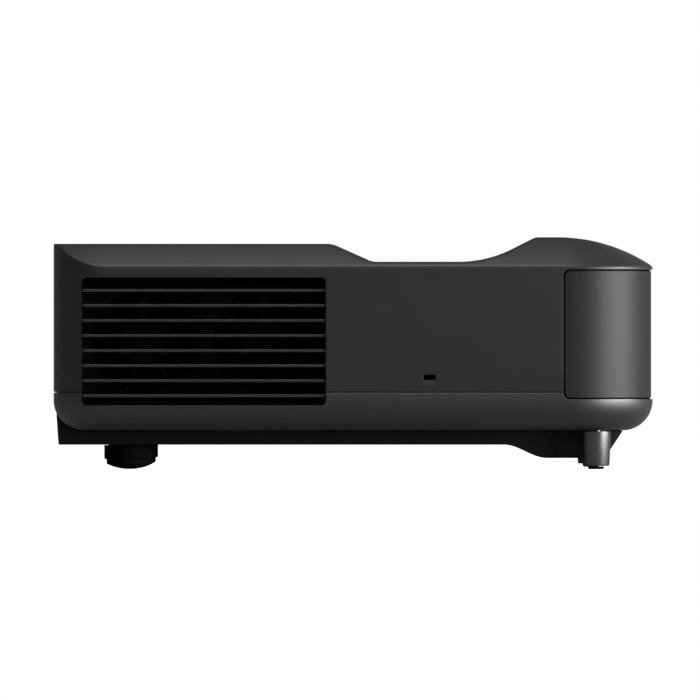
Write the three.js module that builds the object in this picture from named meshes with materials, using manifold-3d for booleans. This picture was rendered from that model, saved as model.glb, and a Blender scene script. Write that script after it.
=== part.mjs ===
// Ultra-short-throw home projector, modelled in millimetres.
// X runs across the width, the front (audience side) faces -Y, the rear (wall side) faces +Y, +Z is up.
// The origin is on the table, under the centre of the case.

import * as THREE from 'three';
import { mergeVertices } from 'three/addons/utils/BufferGeometryUtils.js';
import Module from 'manifold-3d';

const wasm = await Module();
wasm.setup();

// ---------------------------------------------------------------- driving dimensions

const caseWidth = 467;
const caseDepth = 400;
const halfWidth = caseWidth / 2;
const halfDepth = caseDepth / 2;
const frontRadius = 57;
const rearRadius = 34;
const wall = 2.5;
const gap = 0.3;
const planSteps = 5;
const cornerSteps = 2;
const roundSteps = 24;

// Levels above the table.
const deckZ = 150.4;
const domeZ = 154.8;
const valleyZ = 138.4;
const creaseZ = 135.4;
const partingZ = 51.2;
const floorZ = 25.9;
const panZ = 16.3;
const bossZ = 7.4;

// The top, from rear to front: flat deck, slope, valley, rising curve, dome.
const deckFrontY = 14;
const valleyRearY = -12.7;
const valleyFrontY = -70;
const riseArcRadius = 80;
const riseArcEndY = -109;
const riseSlope = 0.5;
const domeArcY = -137;
const domeArcRadius = 112;
const sideSlope = 0.81;
const lowerFillet = 20;

// Openings in the sides and the front.
const vent = { rear: 181, front: 18.3, bottom: 42.6, top: 127.9, radius: 3 };
const louvreCount = 8;
const louvrePitch = 10.03;
const louvreTopZ = 119.2;
const louvreThickness = 1.8;
const grille = { sideY: -142, bottom: 47.8, top: 132.2, radius: 3.5, recess: 1, cloth: 1.2, frame: 4 };
const securitySlot = { y: -50.8, z: 61.3, length: 8, height: 3.5 };

// Projection window in the valley.
const windowHole = { halfX: 92, rear: -10, front: -64, radius: 6 };

// Feet.
const rearFoot = { x: 165, y: 149.6, radius: 16.9, stepRadius: 15.2, stepZ: 6.9, round: 2.8 };
const frontFoot = {
  x: 200, y: -162, topRadius: 10, bottomRadius: 9.1, studRadius: 3.9, studLength: 28,
  socketDepth: 8, nutRadius: 6.2, nutHeight: 8,
};
const footPad = { radius: 5.3, height: 1.9 };

// Optics: lens axis along Y, above the chassis.
const lensZ = 80;
const gearModule = 1.5;
const ringTeeth = 40;
const pinionTeeth = 12;
const ringPitchRadius = gearModule * ringTeeth / 2;
const pinionPitchRadius = gearModule * pinionTeeth / 2;

// Fans.
const fan = {
  size: 80, depth: 15, bore: 37, rotor: 35, hub: 14, strut: 2,
  blades: 7, chord: 13, twist: 52, bladeThickness: 1.4,
};

// Side buttons and rear sockets.
const button = { radius: 6, length: 6, z: 108, clearance: 0.4, flange: 1.5, flangeDepth: 1, chamfer: 0.4 };
const panel = { x: 88, z: 78, halfX: 62, halfZ: 16, thickness: 2, recess: 1.2 };
const inlet = { x: -150, z: 72, width: 24, height: 15, depth: 22 };

// ---------------------------------------------------------------- materials

function material(color, roughness, metalness = 0) {
  return new THREE.MeshStandardMaterial({ color, roughness, metalness });
}

const blackPlastic = material(0x232325, 0.6);
const panPlastic = material(0x121213, 0.7);
const glossPlastic = material(0x0b0b0c, 0.15);
const grilleCloth = material(0x2c2c2e, 0.9);
const darkRubber = material(0x0d0d0d, 0.85);
const greyMetal = material(0x6c6c70, 0.4, 0.9);
const steel = material(0xa4a6a8, 0.35, 1);
const aluminium = material(0xb9bcc0, 0.4, 1);
const blackMetal = material(0x1a1a1c, 0.45, 0.6);
const copper = material(0xb87342, 0.3, 1);
const brass = material(0xb59a54, 0.35, 1);
const boardGreen = material(0x0f5132, 0.5);
const glass = material(0x1b2226, 0.05);
const mirrorCoat = material(0xe6e8ea, 0.03, 1);
const foam = material(0x3a3a3c, 0.95);
const paperCone = material(0x1c1c1e, 0.9);
const phosphor = material(0xd8c24a, 0.6);
const lampWhite = material(0xdfe8ee, 0.3);

// ---------------------------------------------------------------- solids

function toSolid(geometry) {
  const bare = geometry.clone();
  bare.deleteAttribute('normal');
  bare.deleteAttribute('uv');
  const merged = mergeVertices(bare, 1e-4);
  const vertProperties = new Float32Array(merged.attributes.position.array);
  const triVerts = new Uint32Array(merged.index.array);
  return new wasm.Manifold(new wasm.Mesh({ numProp: 3, vertProperties, triVerts }));
}

function toGeometry(solid) {
  const mesh = solid.getMesh();
  const geometry = new THREE.BufferGeometry();
  geometry.setAttribute('position', new THREE.BufferAttribute(mesh.vertProperties, 3));
  geometry.setIndex(new THREE.BufferAttribute(mesh.triVerts, 1));
  return geometry;
}

function join(...solids) {
  return solids.reduce((whole, solid) => whole.add(solid));
}

function cut(base, ...tools) {
  return tools.reduce((rest, tool) => rest.subtract(tool), base);
}

// A block between two corners.
function block(x0, x1, y0, y1, z0, z1) {
  const geometry = new THREE.BoxGeometry(x1 - x0, y1 - y0, z1 - z0);
  return toSolid(geometry.translate((x0 + x1) / 2, (y0 + y1) / 2, (z0 + z1) / 2));
}

// A round bar along X, Y or Z, starting at a point.
function bar(axis, radius, length, start, steps = roundSteps) {
  const geometry = new THREE.CylinderGeometry(radius, radius, length, steps);
  geometry.translate(0, length / 2, 0);
  if (axis === 'x') geometry.rotateZ(-Math.PI / 2);
  if (axis === 'z') geometry.rotateX(Math.PI / 2);
  return toSolid(geometry.translate(...start));
}

// A body turned about Z from a profile of [radius, height] pairs.
function turned(profile, steps = roundSteps) {
  const points = profile.map(([radius, height]) => new THREE.Vector2(radius, height));
  return new THREE.LatheGeometry(points, steps).rotateX(Math.PI / 2);
}

// A shape drawn in plan, raised between two heights.
function raised(shape, z0, z1, curveSegments = planSteps) {
  const geometry = new THREE.ExtrudeGeometry(shape, { depth: z1 - z0, bevelEnabled: false, curveSegments });
  return toSolid(geometry.translate(0, 0, z0));
}

// A shape drawn in Y and Z, run across between two places in X.
function across(shape, x0, x1, curveSegments = cornerSteps) {
  const geometry = new THREE.ExtrudeGeometry(shape, { depth: x1 - x0, bevelEnabled: false, curveSegments });
  geometry.rotateZ(Math.PI / 2).rotateY(Math.PI / 2);
  return toSolid(geometry.translate(x0, 0, 0));
}

// A shape drawn in X and Z, run from y0 rearwards.
function along(shape, y0, y1, curveSegments = cornerSteps) {
  const geometry = new THREE.ExtrudeGeometry(shape, { depth: y1 - y0, bevelEnabled: false, curveSegments });
  return toSolid(geometry.rotateX(Math.PI / 2).translate(0, y1, 0));
}

function roundedRect(u0, u1, v0, v1, radius) {
  const shape = new THREE.Shape();
  shape.moveTo(u0 + radius, v0);
  shape.lineTo(u1 - radius, v0);
  shape.absarc(u1 - radius, v0 + radius, radius, -Math.PI / 2, 0);
  shape.lineTo(u1, v1 - radius);
  shape.absarc(u1 - radius, v1 - radius, radius, 0, Math.PI / 2);
  shape.lineTo(u0 + radius, v1);
  shape.absarc(u0 + radius, v1 - radius, radius, Math.PI / 2, Math.PI);
  shape.lineTo(u0, v0 + radius);
  shape.absarc(u0 + radius, v0 + radius, radius, Math.PI, Math.PI * 1.5);
  return shape;
}

// ---------------------------------------------------------------- the case's form

// The case seen from above, drawn a distance inside its outer wall.
function plan(inset) {
  const x = halfWidth - inset;
  const y = halfDepth - inset;
  const front = frontRadius - inset;
  const rear = rearRadius - inset;
  const shape = new THREE.Shape();
  shape.moveTo(front - x, -y);
  shape.lineTo(x - front, -y);
  shape.absarc(x - front, front - y, front, -Math.PI / 2, 0);
  shape.lineTo(x, y - rear);
  shape.absarc(x - rear, y - rear, rear, 0, Math.PI / 2);
  shape.lineTo(rear - x, y);
  shape.absarc(rear - x, y - rear, rear, Math.PI / 2, Math.PI);
  shape.lineTo(-x, front - y);
  shape.absarc(front - x, front - y, front, Math.PI, Math.PI * 1.5);
  return shape;
}

// Height of the top along the middle of the case.
function topProfile(y) {
  if (y >= deckFrontY) return deckZ;
  if (y >= valleyRearY) {
    return THREE.MathUtils.mapLinear(y, valleyRearY, deckFrontY, valleyZ, deckZ);
  }
  if (y >= valleyFrontY) return valleyZ;
  if (y >= riseArcEndY) {
    return valleyZ + riseArcRadius - Math.sqrt(riseArcRadius ** 2 - (y - valleyFrontY) ** 2);
  }
  if (y >= domeArcY) {
    return Math.min(domeZ, topProfile(riseArcEndY) + (riseArcEndY - y) * riseSlope);
  }
  return domeFall(y + halfDepth);
}

// The dome's height at a distance inside the front edge.
function domeFall(inward) {
  const run = Math.max(0, domeArcY + halfDepth - inward);
  return domeZ - domeArcRadius + Math.sqrt(domeArcRadius ** 2 - run ** 2);
}

// The side chamfer's height at a distance inside the side edge.
function sideRise(inward) {
  return Math.min(domeZ, creaseZ + inward * sideSlope);
}

// Height of the top anywhere. Round the front corners, the side chamfer turns gradually into the dome.
function topHeight(x, y) {
  const outX = Math.abs(x) - (halfWidth - frontRadius);
  const outY = frontRadius - halfDepth - y;
  if (outX <= 0 || outY <= 0) {
    return Math.min(topProfile(y), sideRise(halfWidth - Math.abs(x)));
  }
  const inward = frontRadius - Math.hypot(outX, outY);
  const turn = THREE.MathUtils.smoothstep(Math.atan2(outY, outX), 0, Math.PI / 2);
  return THREE.MathUtils.lerp(sideRise(inward), domeFall(inward), turn);
}

function evenly(from, to, steps) {
  return Array.from({ length: steps }, (_, i) => from + (to - from) * i / steps);
}

// Rows of the draped top, from rear to front.
const topRows = [
  halfDepth + wall, deckFrontY, valleyRearY,
  ...evenly(valleyFrontY, riseArcEndY, 4),
  riseArcEndY, riseArcEndY - (domeZ - topProfile(riseArcEndY)) / riseSlope,
  ...evenly(domeArcY, -halfDepth, 6), -halfDepth,
];
// Places across the flat part of the top, between the middle (0) and the chamfer's upper edge (1).
const topColumns = [0, 0.84, 0.9, 0.95, 1];

// A block whose top follows the case's top, lowered by a distance.
function drapedBlock(lowered, bottom) {
  const side = topColumns.length;
  const geometry = new THREE.BoxGeometry(1, 1, 1, 2 * side, topRows.length - 1, 1);
  const position = geometry.attributes.position;
  for (let i = 0; i < position.count; i += 1) {
    const column = Math.round((position.getX(i) + 0.5) * 2 * side) - side;
    const row = Math.round((0.5 - position.getY(i)) * (topRows.length - 1));
    const y = topRows[row];
    const edge = halfWidth - (topProfile(Math.max(y, domeArcY)) - creaseZ) / sideSlope;
    const reach = Math.abs(column) === side ? halfWidth + wall : edge * topColumns[Math.abs(column)];
    const x = Math.sign(column) * reach;
    const z = position.getZ(i) > 0 ? topHeight(x, y) - lowered : bottom;
    position.setXYZ(i, x, y, z);
  }
  return toSolid(geometry);
}

// The lower case's outer form: the plan with a rounded lower edge, grown by a margin.
function lowerForm(inset, bottom, margin = 0) {
  const fillet = lowerFillet + margin;
  const geometry = new THREE.ExtrudeGeometry(plan(lowerFillet + inset), {
    depth: partingZ, bevelEnabled: true, bevelThickness: fillet, bevelSize: fillet,
    bevelSegments: 4, curveSegments: planSteps,
  });
  return toSolid(geometry.translate(0, 0, bottom + fillet - margin));
}

// ---------------------------------------------------------------- the assembly

const projector = new THREE.Group();

function add(name, geometry, look, x = 0, y = 0, z = 0) {
  const mesh = new THREE.Mesh(geometry, look);
  mesh.name = name;
  mesh.position.set(x, y, z);
  projector.add(mesh);
  return mesh;
}

// Depth that the side openings' cutters reach inwards.
const cutDepth = 12;

function ventHole(side, margin) {
  const { front, rear, bottom, top, radius } = vent;
  const outline = roundedRect(front - margin, rear + margin, bottom - margin, top + margin, radius + margin);
  const outer = halfWidth + wall;
  const inner = halfWidth - cutDepth;
  return side < 0 ? across(outline, -outer, -inner) : across(outline, inner, outer);
}

function grilleHole(margin) {
  const { sideY, bottom, top, radius } = grille;
  const outline = roundedRect(-caseDepth, sideY + margin, bottom - margin, top + margin, radius + margin);
  return across(outline, -halfWidth - wall, halfWidth + wall);
}

// A hole through the rear wall.
function rearHole(centre, halfX, halfZ) {
  const outline = roundedRect(centre.x - halfX, centre.x + halfX, centre.z - halfZ, centre.z + halfZ, 2);
  return along(outline, halfDepth - cutDepth / 2, halfDepth + wall);
}

const buttonPlaces = [
  { name: 'power_button', y: -62 },
  { name: 'input_button', y: -86 },
];
const lamp = { y: -38, length: 11.4, height: 3.4, depth: 6 };

function addUpperCase() {
  const bottom = partingZ + gap;
  const outer = drapedBlock(0, bottom).intersect(raised(plan(0), bottom - 1, domeZ + 1));
  const hollow = drapedBlock(wall, bottom - wall).intersect(raised(plan(wall), bottom - wall * 2, domeZ + 1));
  const { y: slotY, z: slotZ, length, height } = securitySlot;
  const slot = roundedRect(slotY - length / 2, slotY + length / 2, slotZ - height / 2, slotZ + height / 2, 1);
  const { halfX, front, rear, radius } = windowHole;
  const windowCut = raised(roundedRect(-halfX, halfX, front, rear, radius),
    valleyZ - cutDepth, valleyZ + cutDepth, cornerSteps);
  const buttonCuts = buttonPlaces.map(({ y }) => (
    bar('x', button.radius + button.clearance, cutDepth, [halfWidth - cutDepth + wall, y, button.z])));
  const lampCut = block(halfWidth - cutDepth + wall, halfWidth + wall,
    lamp.y - lamp.length / 2 - gap, lamp.y + lamp.length / 2 + gap,
    button.z - lamp.height / 2 - gap, button.z + lamp.height / 2 + gap);
  const shell = cut(outer, hollow, ventHole(-1, 0), ventHole(1, 0), grilleHole(gap), windowCut,
    rearHole(panel, panel.halfX, panel.halfZ),
    rearHole(inlet, inlet.width / 2 + gap, inlet.height / 2 + gap),
    lampCut, ...buttonCuts, across(slot, -halfWidth - wall, -halfWidth + wall * 3));
  add('upper_case', toGeometry(shell), blackPlastic);
}

const panHalfX = 188;
const panScrews = [[-150, 100], [150, 100], [-150, -80], [150, -80]];
const screw = { shank: 1.6, head: 3.6, headHeight: 1.6, length: 16.8 };
const screwHole = 2;

// A round hole up through the floor of the case.
function floorBore(radius, x, y) {
  return bar('z', radius, cutDepth, [x, y, floorZ - cutDepth / 2], 12);
}

function addLowerCase() {
  const above = block(-halfWidth - 1, halfWidth + 1, -halfDepth - 1, halfDepth + 1, partingZ - gap, domeZ);
  const studHoles = [-1, 1].map((side) => (
    floorBore(frontFoot.studRadius + gap, side * frontFoot.x, frontFoot.y)));
  const screwHoles = panScrews.map(([x, y]) => floorBore(screwHole, x, y));
  const shell = cut(lowerForm(0, floorZ), lowerForm(wall, floorZ + wall), above,
    ventHole(-1, 0), ventHole(1, 0), grilleHole(gap), ...studHoles, ...screwHoles);
  add('lower_case', toGeometry(shell), blackPlastic);
}

// ---- base pan, with its screws

const panPlate = 2.5;
// The pan's side outline in Y and Z: a slanted rear edge, and a deeper boss at the front.
const panRear = { topY: 198.3, bottomY: 196.9, topZ: 37.6, innerY: 178 };
const panBoss = { rearY: -129, frontY: -168, topY: -180, blendY: -101 };

function addBasePan() {
  const top = floorZ - gap;
  const outline = new THREE.Shape();
  outline.moveTo(panRear.topY, panRear.topZ);
  outline.lineTo(panRear.bottomY, panZ);
  outline.lineTo(panBoss.blendY, panZ);
  outline.bezierCurveTo(panBoss.blendY - 12, panZ, panBoss.rearY + 12, bossZ, panBoss.rearY, bossZ);
  outline.lineTo(panBoss.frontY, bossZ);
  outline.lineTo(panBoss.topY, top);
  outline.lineTo(panRear.innerY - 8, top);
  outline.lineTo(panRear.innerY, panRear.topZ);
  const inside = panHalfX - panPlate;
  const pocketRear = block(-inside, inside, panBoss.blendY + 1, panRear.innerY - 10, panZ + panPlate, floorZ);
  const pocketFront = block(-inside, inside, panBoss.frontY + 8, panBoss.rearY + 1, bossZ + panPlate, floorZ);
  const bosses = panScrews.map(([x, y]) => bar('z', 6, top - panZ, [x, y, panZ], 12));
  const bores = panScrews.map(([x, y]) => bar('z', screwHole, cutDepth, [x, y, panZ - 1], 12));
  const sinks = panScrews.map(([x, y]) => bar('z', screw.head + gap, 3, [x, y, panZ - 1], 12));
  const solid = across(outline, -panHalfX, panHalfX, 4);
  const pan = cut(solid, lowerForm(0, floorZ, gap), pocketRear, pocketFront);
  add('base_pan', toGeometry(cut(join(pan, ...bosses), ...bores, ...sinks)), panPlastic);
  const { shank, head, headHeight, length } = screw;
  const body = turned([[0, 0], [head, 0], [head, headHeight], [shank, headHeight],
    [shank, length - 0.8], [0, length]], 12);
  panScrews.forEach(([x, y], i) => add(`pan_screw_${i + 1}`, body, steel, x, y, panZ + gap));
}

// ---- feet

// The rear feet are fixed. Each front foot is a barrel on a threaded stud that runs in a nut, over a
// swivelling pad.
function addFeet() {
  const { radius, stepRadius, stepZ, round } = rearFoot;
  const rear = turned([[0, 0], [stepRadius - round, 0], [stepRadius - round * 0.3, round * 0.3],
    [stepRadius, round], [stepRadius, stepZ], [radius, stepZ + 0.6], [radius, panZ - gap], [0, panZ - gap]]);
  const { topRadius, bottomRadius, studRadius, studLength, socketDepth, nutRadius, nutHeight } = frontFoot;
  const barrelZ = footPad.height + gap;
  const barrelTop = floorZ - gap - barrelZ;
  const socketRadius = studRadius + gap;
  const chamfer = 0.8;
  const barrel = turned([[0, 0], [bottomRadius - chamfer, 0], [bottomRadius, chamfer], [topRadius, barrelTop],
    [socketRadius, barrelTop], [socketRadius, barrelTop - socketDepth], [0, barrelTop - socketDepth]], 20);
  const stud = turned([[0, 0], [studRadius, 0], [studRadius, studLength - 1], [0, studLength]], 16);
  const { radius: padRadius, height: padHeight } = footPad;
  const pad = turned([[0, 0], [padRadius, 0], [padRadius, padHeight], [0, padHeight]], 16);
  const nut = turned([[socketRadius, 0], [nutRadius, 0], [nutRadius, nutHeight], [socketRadius, nutHeight],
    [socketRadius, 0]], 12);
  for (const [side, word] of [[-1, 'left'], [1, 'right']]) {
    const x = side * frontFoot.x;
    add(`rear_foot_${word}`, rear, darkRubber, side * rearFoot.x, rearFoot.y, 0);
    add(`front_foot_barrel_${word}`, barrel, greyMetal, x, frontFoot.y, barrelZ);
    add(`front_foot_stud_${word}`, stud, steel, x, frontFoot.y, barrelZ + barrelTop - socketDepth + gap);
    add(`front_foot_pad_${word}`, pad, darkRubber, x, frontFoot.y, 0);
    add(`front_foot_nut_${word}`, nut, brass, x, frontFoot.y, floorZ + wall + 2 * gap);
  }
}

// ---- front grille: an inner frame and the cloth over it

function frontBand(outer, inner) {
  const band = cut(raised(plan(outer), grille.bottom - 5, grille.top + 5),
    raised(plan(inner), grille.bottom - 6, grille.top + 6));
  return band.intersect(grilleHole(0));
}

// Sound openings in the frame behind the cloth.
const grilleWindow = { places: [-120, 0, 120], halfX: 48, margin: 9, radius: 5, depth: 15 };

function addGrille() {
  const clothInner = grille.recess + grille.cloth;
  const frameOuter = clothInner + gap;
  const { places, halfX, margin, radius, depth } = grilleWindow;
  const windows = places.map((x) => {
    const outline = roundedRect(x - halfX, x + halfX, grille.bottom + margin, grille.top - margin, radius);
    return along(outline, -halfDepth - wall, -halfDepth + depth);
  });
  const frame = cut(frontBand(frameOuter, frameOuter + grille.frame), ...windows);
  add('grille_cloth', toGeometry(frontBand(grille.recess, clothInner)), grilleCloth);
  add('grille_frame', toGeometry(frame), blackPlastic);
}

// ---- exhaust louvres (left) and hinged filter cover with louvres (right)

function louvres(x0, x1) {
  return Array.from({ length: louvreCount }, (_, i) => {
    const z = louvreTopZ - i * louvrePitch;
    return block(x0, x1, vent.front + 1, vent.rear - 1, z - louvreThickness / 2, z + louvreThickness / 2);
  });
}

function ventFrame(side, depth, margin) {
  const rim = 1.2;
  const outer = roundedRect(vent.front + margin, vent.rear - margin, vent.bottom + margin, vent.top - margin,
    vent.radius);
  const inner = roundedRect(vent.front + margin + rim, vent.rear - margin - rim, vent.bottom + margin + rim,
    vent.top - margin - rim, vent.radius - rim);
  const near = Math.min(side * (halfWidth - 0.4), side * (halfWidth - depth));
  return cut(across(outer, near, near + depth - 0.4), across(inner, near - 1, near + depth + 1));
}

function addExhaustLouvres() {
  const frame = ventFrame(-1, 9, gap);
  add('exhaust_louvres', toGeometry(join(frame, ...louvres(-halfWidth + 1, -halfWidth + 9))), blackPlastic);
}

const coverHinge = { x: halfWidth - 2.4, z: vent.bottom + 2.4 + gap, radius: 2.4 };
const coverDepth = 6;
const filter = { pleats: 19, thickness: 4, margin: 1.6, bottom: 46, height: 79 };
const latch = { halfLength: 9, height: 7 };

function addFilterCover() {
  const margin = gap * 3;
  const face = halfWidth - 0.4;
  const { front, rear, bottom, top, radius } = vent;
  const slotted = join(ventFrame(1, coverDepth, margin), ...louvres(halfWidth - coverDepth, halfWidth - 1));
  const trimmed = cut(slotted, block(halfWidth - cutDepth, halfWidth + 1, front - 1, rear + 1,
    bottom - 1, coverHinge.z));
  const knuckle = bar('y', coverHinge.radius, rear - front - 2 * radius,
    [coverHinge.x, front + radius, coverHinge.z], 16);
  const web = block(halfWidth - coverDepth, face, front + margin, rear - margin,
    coverHinge.z, coverHinge.z + wall);
  const midY = (front + rear) / 2;
  const tab = block(halfWidth - coverDepth, face, midY - latch.halfLength, midY + latch.halfLength,
    top - 1 - latch.height, top - 1);
  const body = join(trimmed, knuckle, web, tab).translate([-coverHinge.x, 0, -coverHinge.z]);
  add('filter_cover', toGeometry(body), blackPlastic, coverHinge.x, 0, coverHinge.z);
}

// The pleated filter behind the cover, drawn as a zigzag in Y and run upwards.
function addAirFilter() {
  const { pleats, thickness, margin, bottom, height } = filter;
  const length = vent.rear - vent.front - 2 * margin;
  const pleat = length / pleats;
  const outline = new THREE.Shape();
  outline.moveTo(0, thickness);
  for (let i = 0; i < pleats; i += 1) {
    outline.lineTo(pleat * (i + 0.5), 0);
    outline.lineTo(pleat * (i + 1), thickness);
  }
  outline.lineTo(length, thickness * 2);
  for (let i = pleats; i > 0; i -= 1) {
    outline.lineTo(pleat * (i - 0.5), thickness);
    outline.lineTo(pleat * (i - 1), thickness * 2);
  }
  const body = new THREE.ExtrudeGeometry(outline, { depth: height, bevelEnabled: false });
  add('air_filter', body.rotateZ(Math.PI / 2), foam,
    halfWidth - coverDepth - gap, vent.front + margin, bottom);
}

// ---- projection window

// Bezel: its lip over the opening, and the seat that the glass lies in.
const bezel = { lip: 9, seat: 4, seatDepth: 2.2, thickness: 4.3, sunk: 0.2 };
const pane = { thickness: 1.6, sunk: 0.3, radius: 2.7 };

function addWindow() {
  const { halfX, rear, front, radius } = windowHole;
  const inset = (distance, corner) => (
    roundedRect(-halfX + distance, halfX - distance, front + distance, rear - distance, corner));
  const top = valleyZ - bezel.sunk;
  const seatInset = bezel.lip - bezel.seat;
  const body = cut(raised(inset(gap, radius - gap), top - bezel.thickness, top, cornerSteps),
    raised(inset(bezel.lip, 3), top - cutDepth, top + 1, cornerSteps),
    raised(inset(seatInset, 3), valleyZ - bezel.seatDepth, top + 1, cornerSteps));
  add('window_bezel', toGeometry(body), glossPlastic);
  const glassBody = raised(inset(seatInset + gap, pane.radius), -pane.thickness, 0, cornerSteps);
  add('window_glass', toGeometry(glassBody), glass, 0, 0, valleyZ - pane.sunk);
}

// ---- rear sockets

// A socket's metal shell, open at the rear, its mouth at y = 0.
function socketShell(width, height) {
  const { rim, depth, backWall } = socketForm;
  const outer = roundedRect(-width / 2 - rim, width / 2 + rim, -height / 2 - rim, height / 2 + rim, 0.9);
  const inner = roundedRect(-width / 2, width / 2, -height / 2, height / 2, 0.6);
  return cut(along(outer, -depth, 0), along(inner, -depth + backWall, 1));
}

const socketForm = { rim: 0.6, depth: 12, backWall: 1.2 };
const sockets = [
  { name: 'hdmi_socket_1', x: 50, width: 14.6, height: 5.4, look: steel },
  { name: 'hdmi_socket_2', x: 76, width: 14.6, height: 5.4, look: steel },
  { name: 'usb_socket', x: 102, width: 12.8, height: 5.8, look: steel },
  { name: 'optical_audio_socket', x: 126, width: 8.2, height: 8.2, look: glossPlastic },
];
const inletMouth = { halfX: 8.3, halfZ: 4.3, backWall: 5, pinX: 4.3, pinRadius: 1.2, pinLength: 13 };

function addSocketPanel() {
  const faceY = halfDepth - panel.recess;
  const plate = along(roundedRect(panel.x - panel.halfX + gap, panel.x + panel.halfX - gap,
    panel.z - panel.halfZ + gap, panel.z + panel.halfZ - gap, 2 - gap), faceY - panel.thickness, faceY);
  const clearance = socketForm.rim + gap;
  const holes = sockets.map(({ x, width, height }) => {
    const halfX = width / 2 + clearance;
    const halfZ = height / 2 + clearance;
    const outline = roundedRect(x - halfX, x + halfX, panel.z - halfZ, panel.z + halfZ, 1.2);
    return along(outline, faceY - panel.thickness - 1, faceY + 1);
  });
  add('socket_panel', toGeometry(cut(plate, ...holes)), blackPlastic);
  for (const { name, x, width, height, look } of sockets) {
    add(name, toGeometry(socketShell(width, height)), look, x, faceY, panel.z);
  }
}

function addMainsInlet() {
  const { width, height, depth } = inlet;
  const { halfX, halfZ, backWall, pinX, pinRadius, pinLength } = inletMouth;
  const body = along(roundedRect(-width / 2, width / 2, -height / 2, height / 2, 2), -depth, 0);
  const mouth = along(roundedRect(-halfX, halfX, -halfZ, halfZ, halfZ - 0.1), -depth + backWall, 1);
  const pins = [-pinX, pinX].map((x) => bar('y', pinRadius, pinLength, [x, -depth + backWall - 1, 0], 12));
  add('mains_inlet', toGeometry(join(cut(body, mouth), ...pins)), panPlastic,
    inlet.x, halfDepth - 0.5, inlet.z);
}

// ---- buttons and status lamp on the right side

const controlBoard = { thickness: 1.6, length: 74, height: 24, inset: 14, y: -64 };

function addControls() {
  const { radius, length, flange, flangeDepth, chamfer } = button;
  const cap = turned([[0, 0], [radius + flange, 0], [radius + flange, flangeDepth], [radius, flangeDepth],
    [radius, length - chamfer], [radius - chamfer, length], [0, length]], 20).rotateY(Math.PI / 2);
  for (const { name, y } of buttonPlaces) {
    add(name, cap, blackPlastic, halfWidth - length - 0.2, y, button.z);
  }
  const lens = new THREE.BoxGeometry(lamp.depth, lamp.length, lamp.height);
  add('status_lamp', lens, lampWhite, halfWidth - lamp.depth / 2 - gap, lamp.y, button.z);
  const board = new THREE.BoxGeometry(controlBoard.thickness, controlBoard.length, controlBoard.height);
  add('control_board', board, boardGreen, halfWidth - controlBoard.inset, controlBoard.y, button.z);
}

// ---- chassis and boards

const chassis = { halfX: 196, front: -112, rear: 176, top: 34, thickness: 1.5, flangeTop: 44 };
const chassisSlot = { places: [-130, 130], halfX: 22, front: -60, rear: 40 };

function addChassis() {
  const { halfX, front, rear, top, thickness, flangeTop } = chassis;
  const under = top - thickness;
  const body = join(block(-halfX, halfX, front, rear, under, top),
    block(-halfX, halfX, rear - thickness, rear, under, flangeTop),
    block(-halfX, halfX, front, front + thickness, under, flangeTop));
  const slots = chassisSlot.places.map((x) => block(x - chassisSlot.halfX, x + chassisSlot.halfX,
    chassisSlot.front, chassisSlot.rear, under - 1, top + 1));
  const holes = panScrews.map(([x, y]) => bar('z', screwHole + 0.2, 6, [x, y, top - 4], 12));
  add('chassis_plate', toGeometry(cut(body, ...slots, ...holes)), steel);
}

// Each board is a plate with blocks on it: [x0, x1, y0, y1, height].
const boardThickness = 1.6;
const mainBoard = {
  plate: [48, 184, 96, 184], z: 66,
  parts: [
    [60, 84, 118, 142, 4.4], [100, 116, 110, 126, 2.4], [136, 156, 104, 112, 8.4], [168, 176, 104, 150, 3.4],
  ],
};
const powerBoard = {
  plate: [80, 188, -96, 60], z: 44,
  parts: [[96, 132, -20, 20, 30.4], [146, 176, -84, -50, 22.4]],
  capacitors: [[112, -60], [112, -36]], capacitorRadius: 9, capacitorHeight: 30,
};

function boardBody({ plate, z, parts }) {
  const top = z + boardThickness;
  const blocks = parts.map(([x0, x1, y0, y1, height]) => block(x0, x1, y0, y1, top, top + height));
  return join(block(...plate, z, top), ...blocks);
}

function addBoards() {
  const { capacitors, capacitorRadius, capacitorHeight, z } = powerBoard;
  const cans = capacitors.map(([x, y]) => (
    bar('z', capacitorRadius, capacitorHeight, [x, y, z + boardThickness], 20)));
  add('main_board', toGeometry(boardBody(mainBoard)), boardGreen);
  add('power_board', toGeometry(join(boardBody(powerBoard), ...cans)), boardGreen);
}

// ---- light source, colour wheel, optical block

// The laser beam leaves through a snout, passes the wheel and enters the optical block's port.
const beam = { y: 84, z: 80, snout: 12, port: 10 };
const laser = { x0: -118, x1: -58, y0: 70, y1: 128, top: 108, snoutLength: 8 };
const engine = {
  x0: -38, x1: 42, y0: 66, y1: 134, top: 112, flangeX: 24, flangeY: 60, flangeZ0: 60, flangeZ1: 100,
};
const wheel = { x: -46.3, y: 112, z: 78, radius: 24, bore: 2.4, thickness: 1.4 };
const wheelMotor = { radius: 9, length: 11, shaft: 2, shaftLength: 1, x: laser.x1 + gap };

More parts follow.
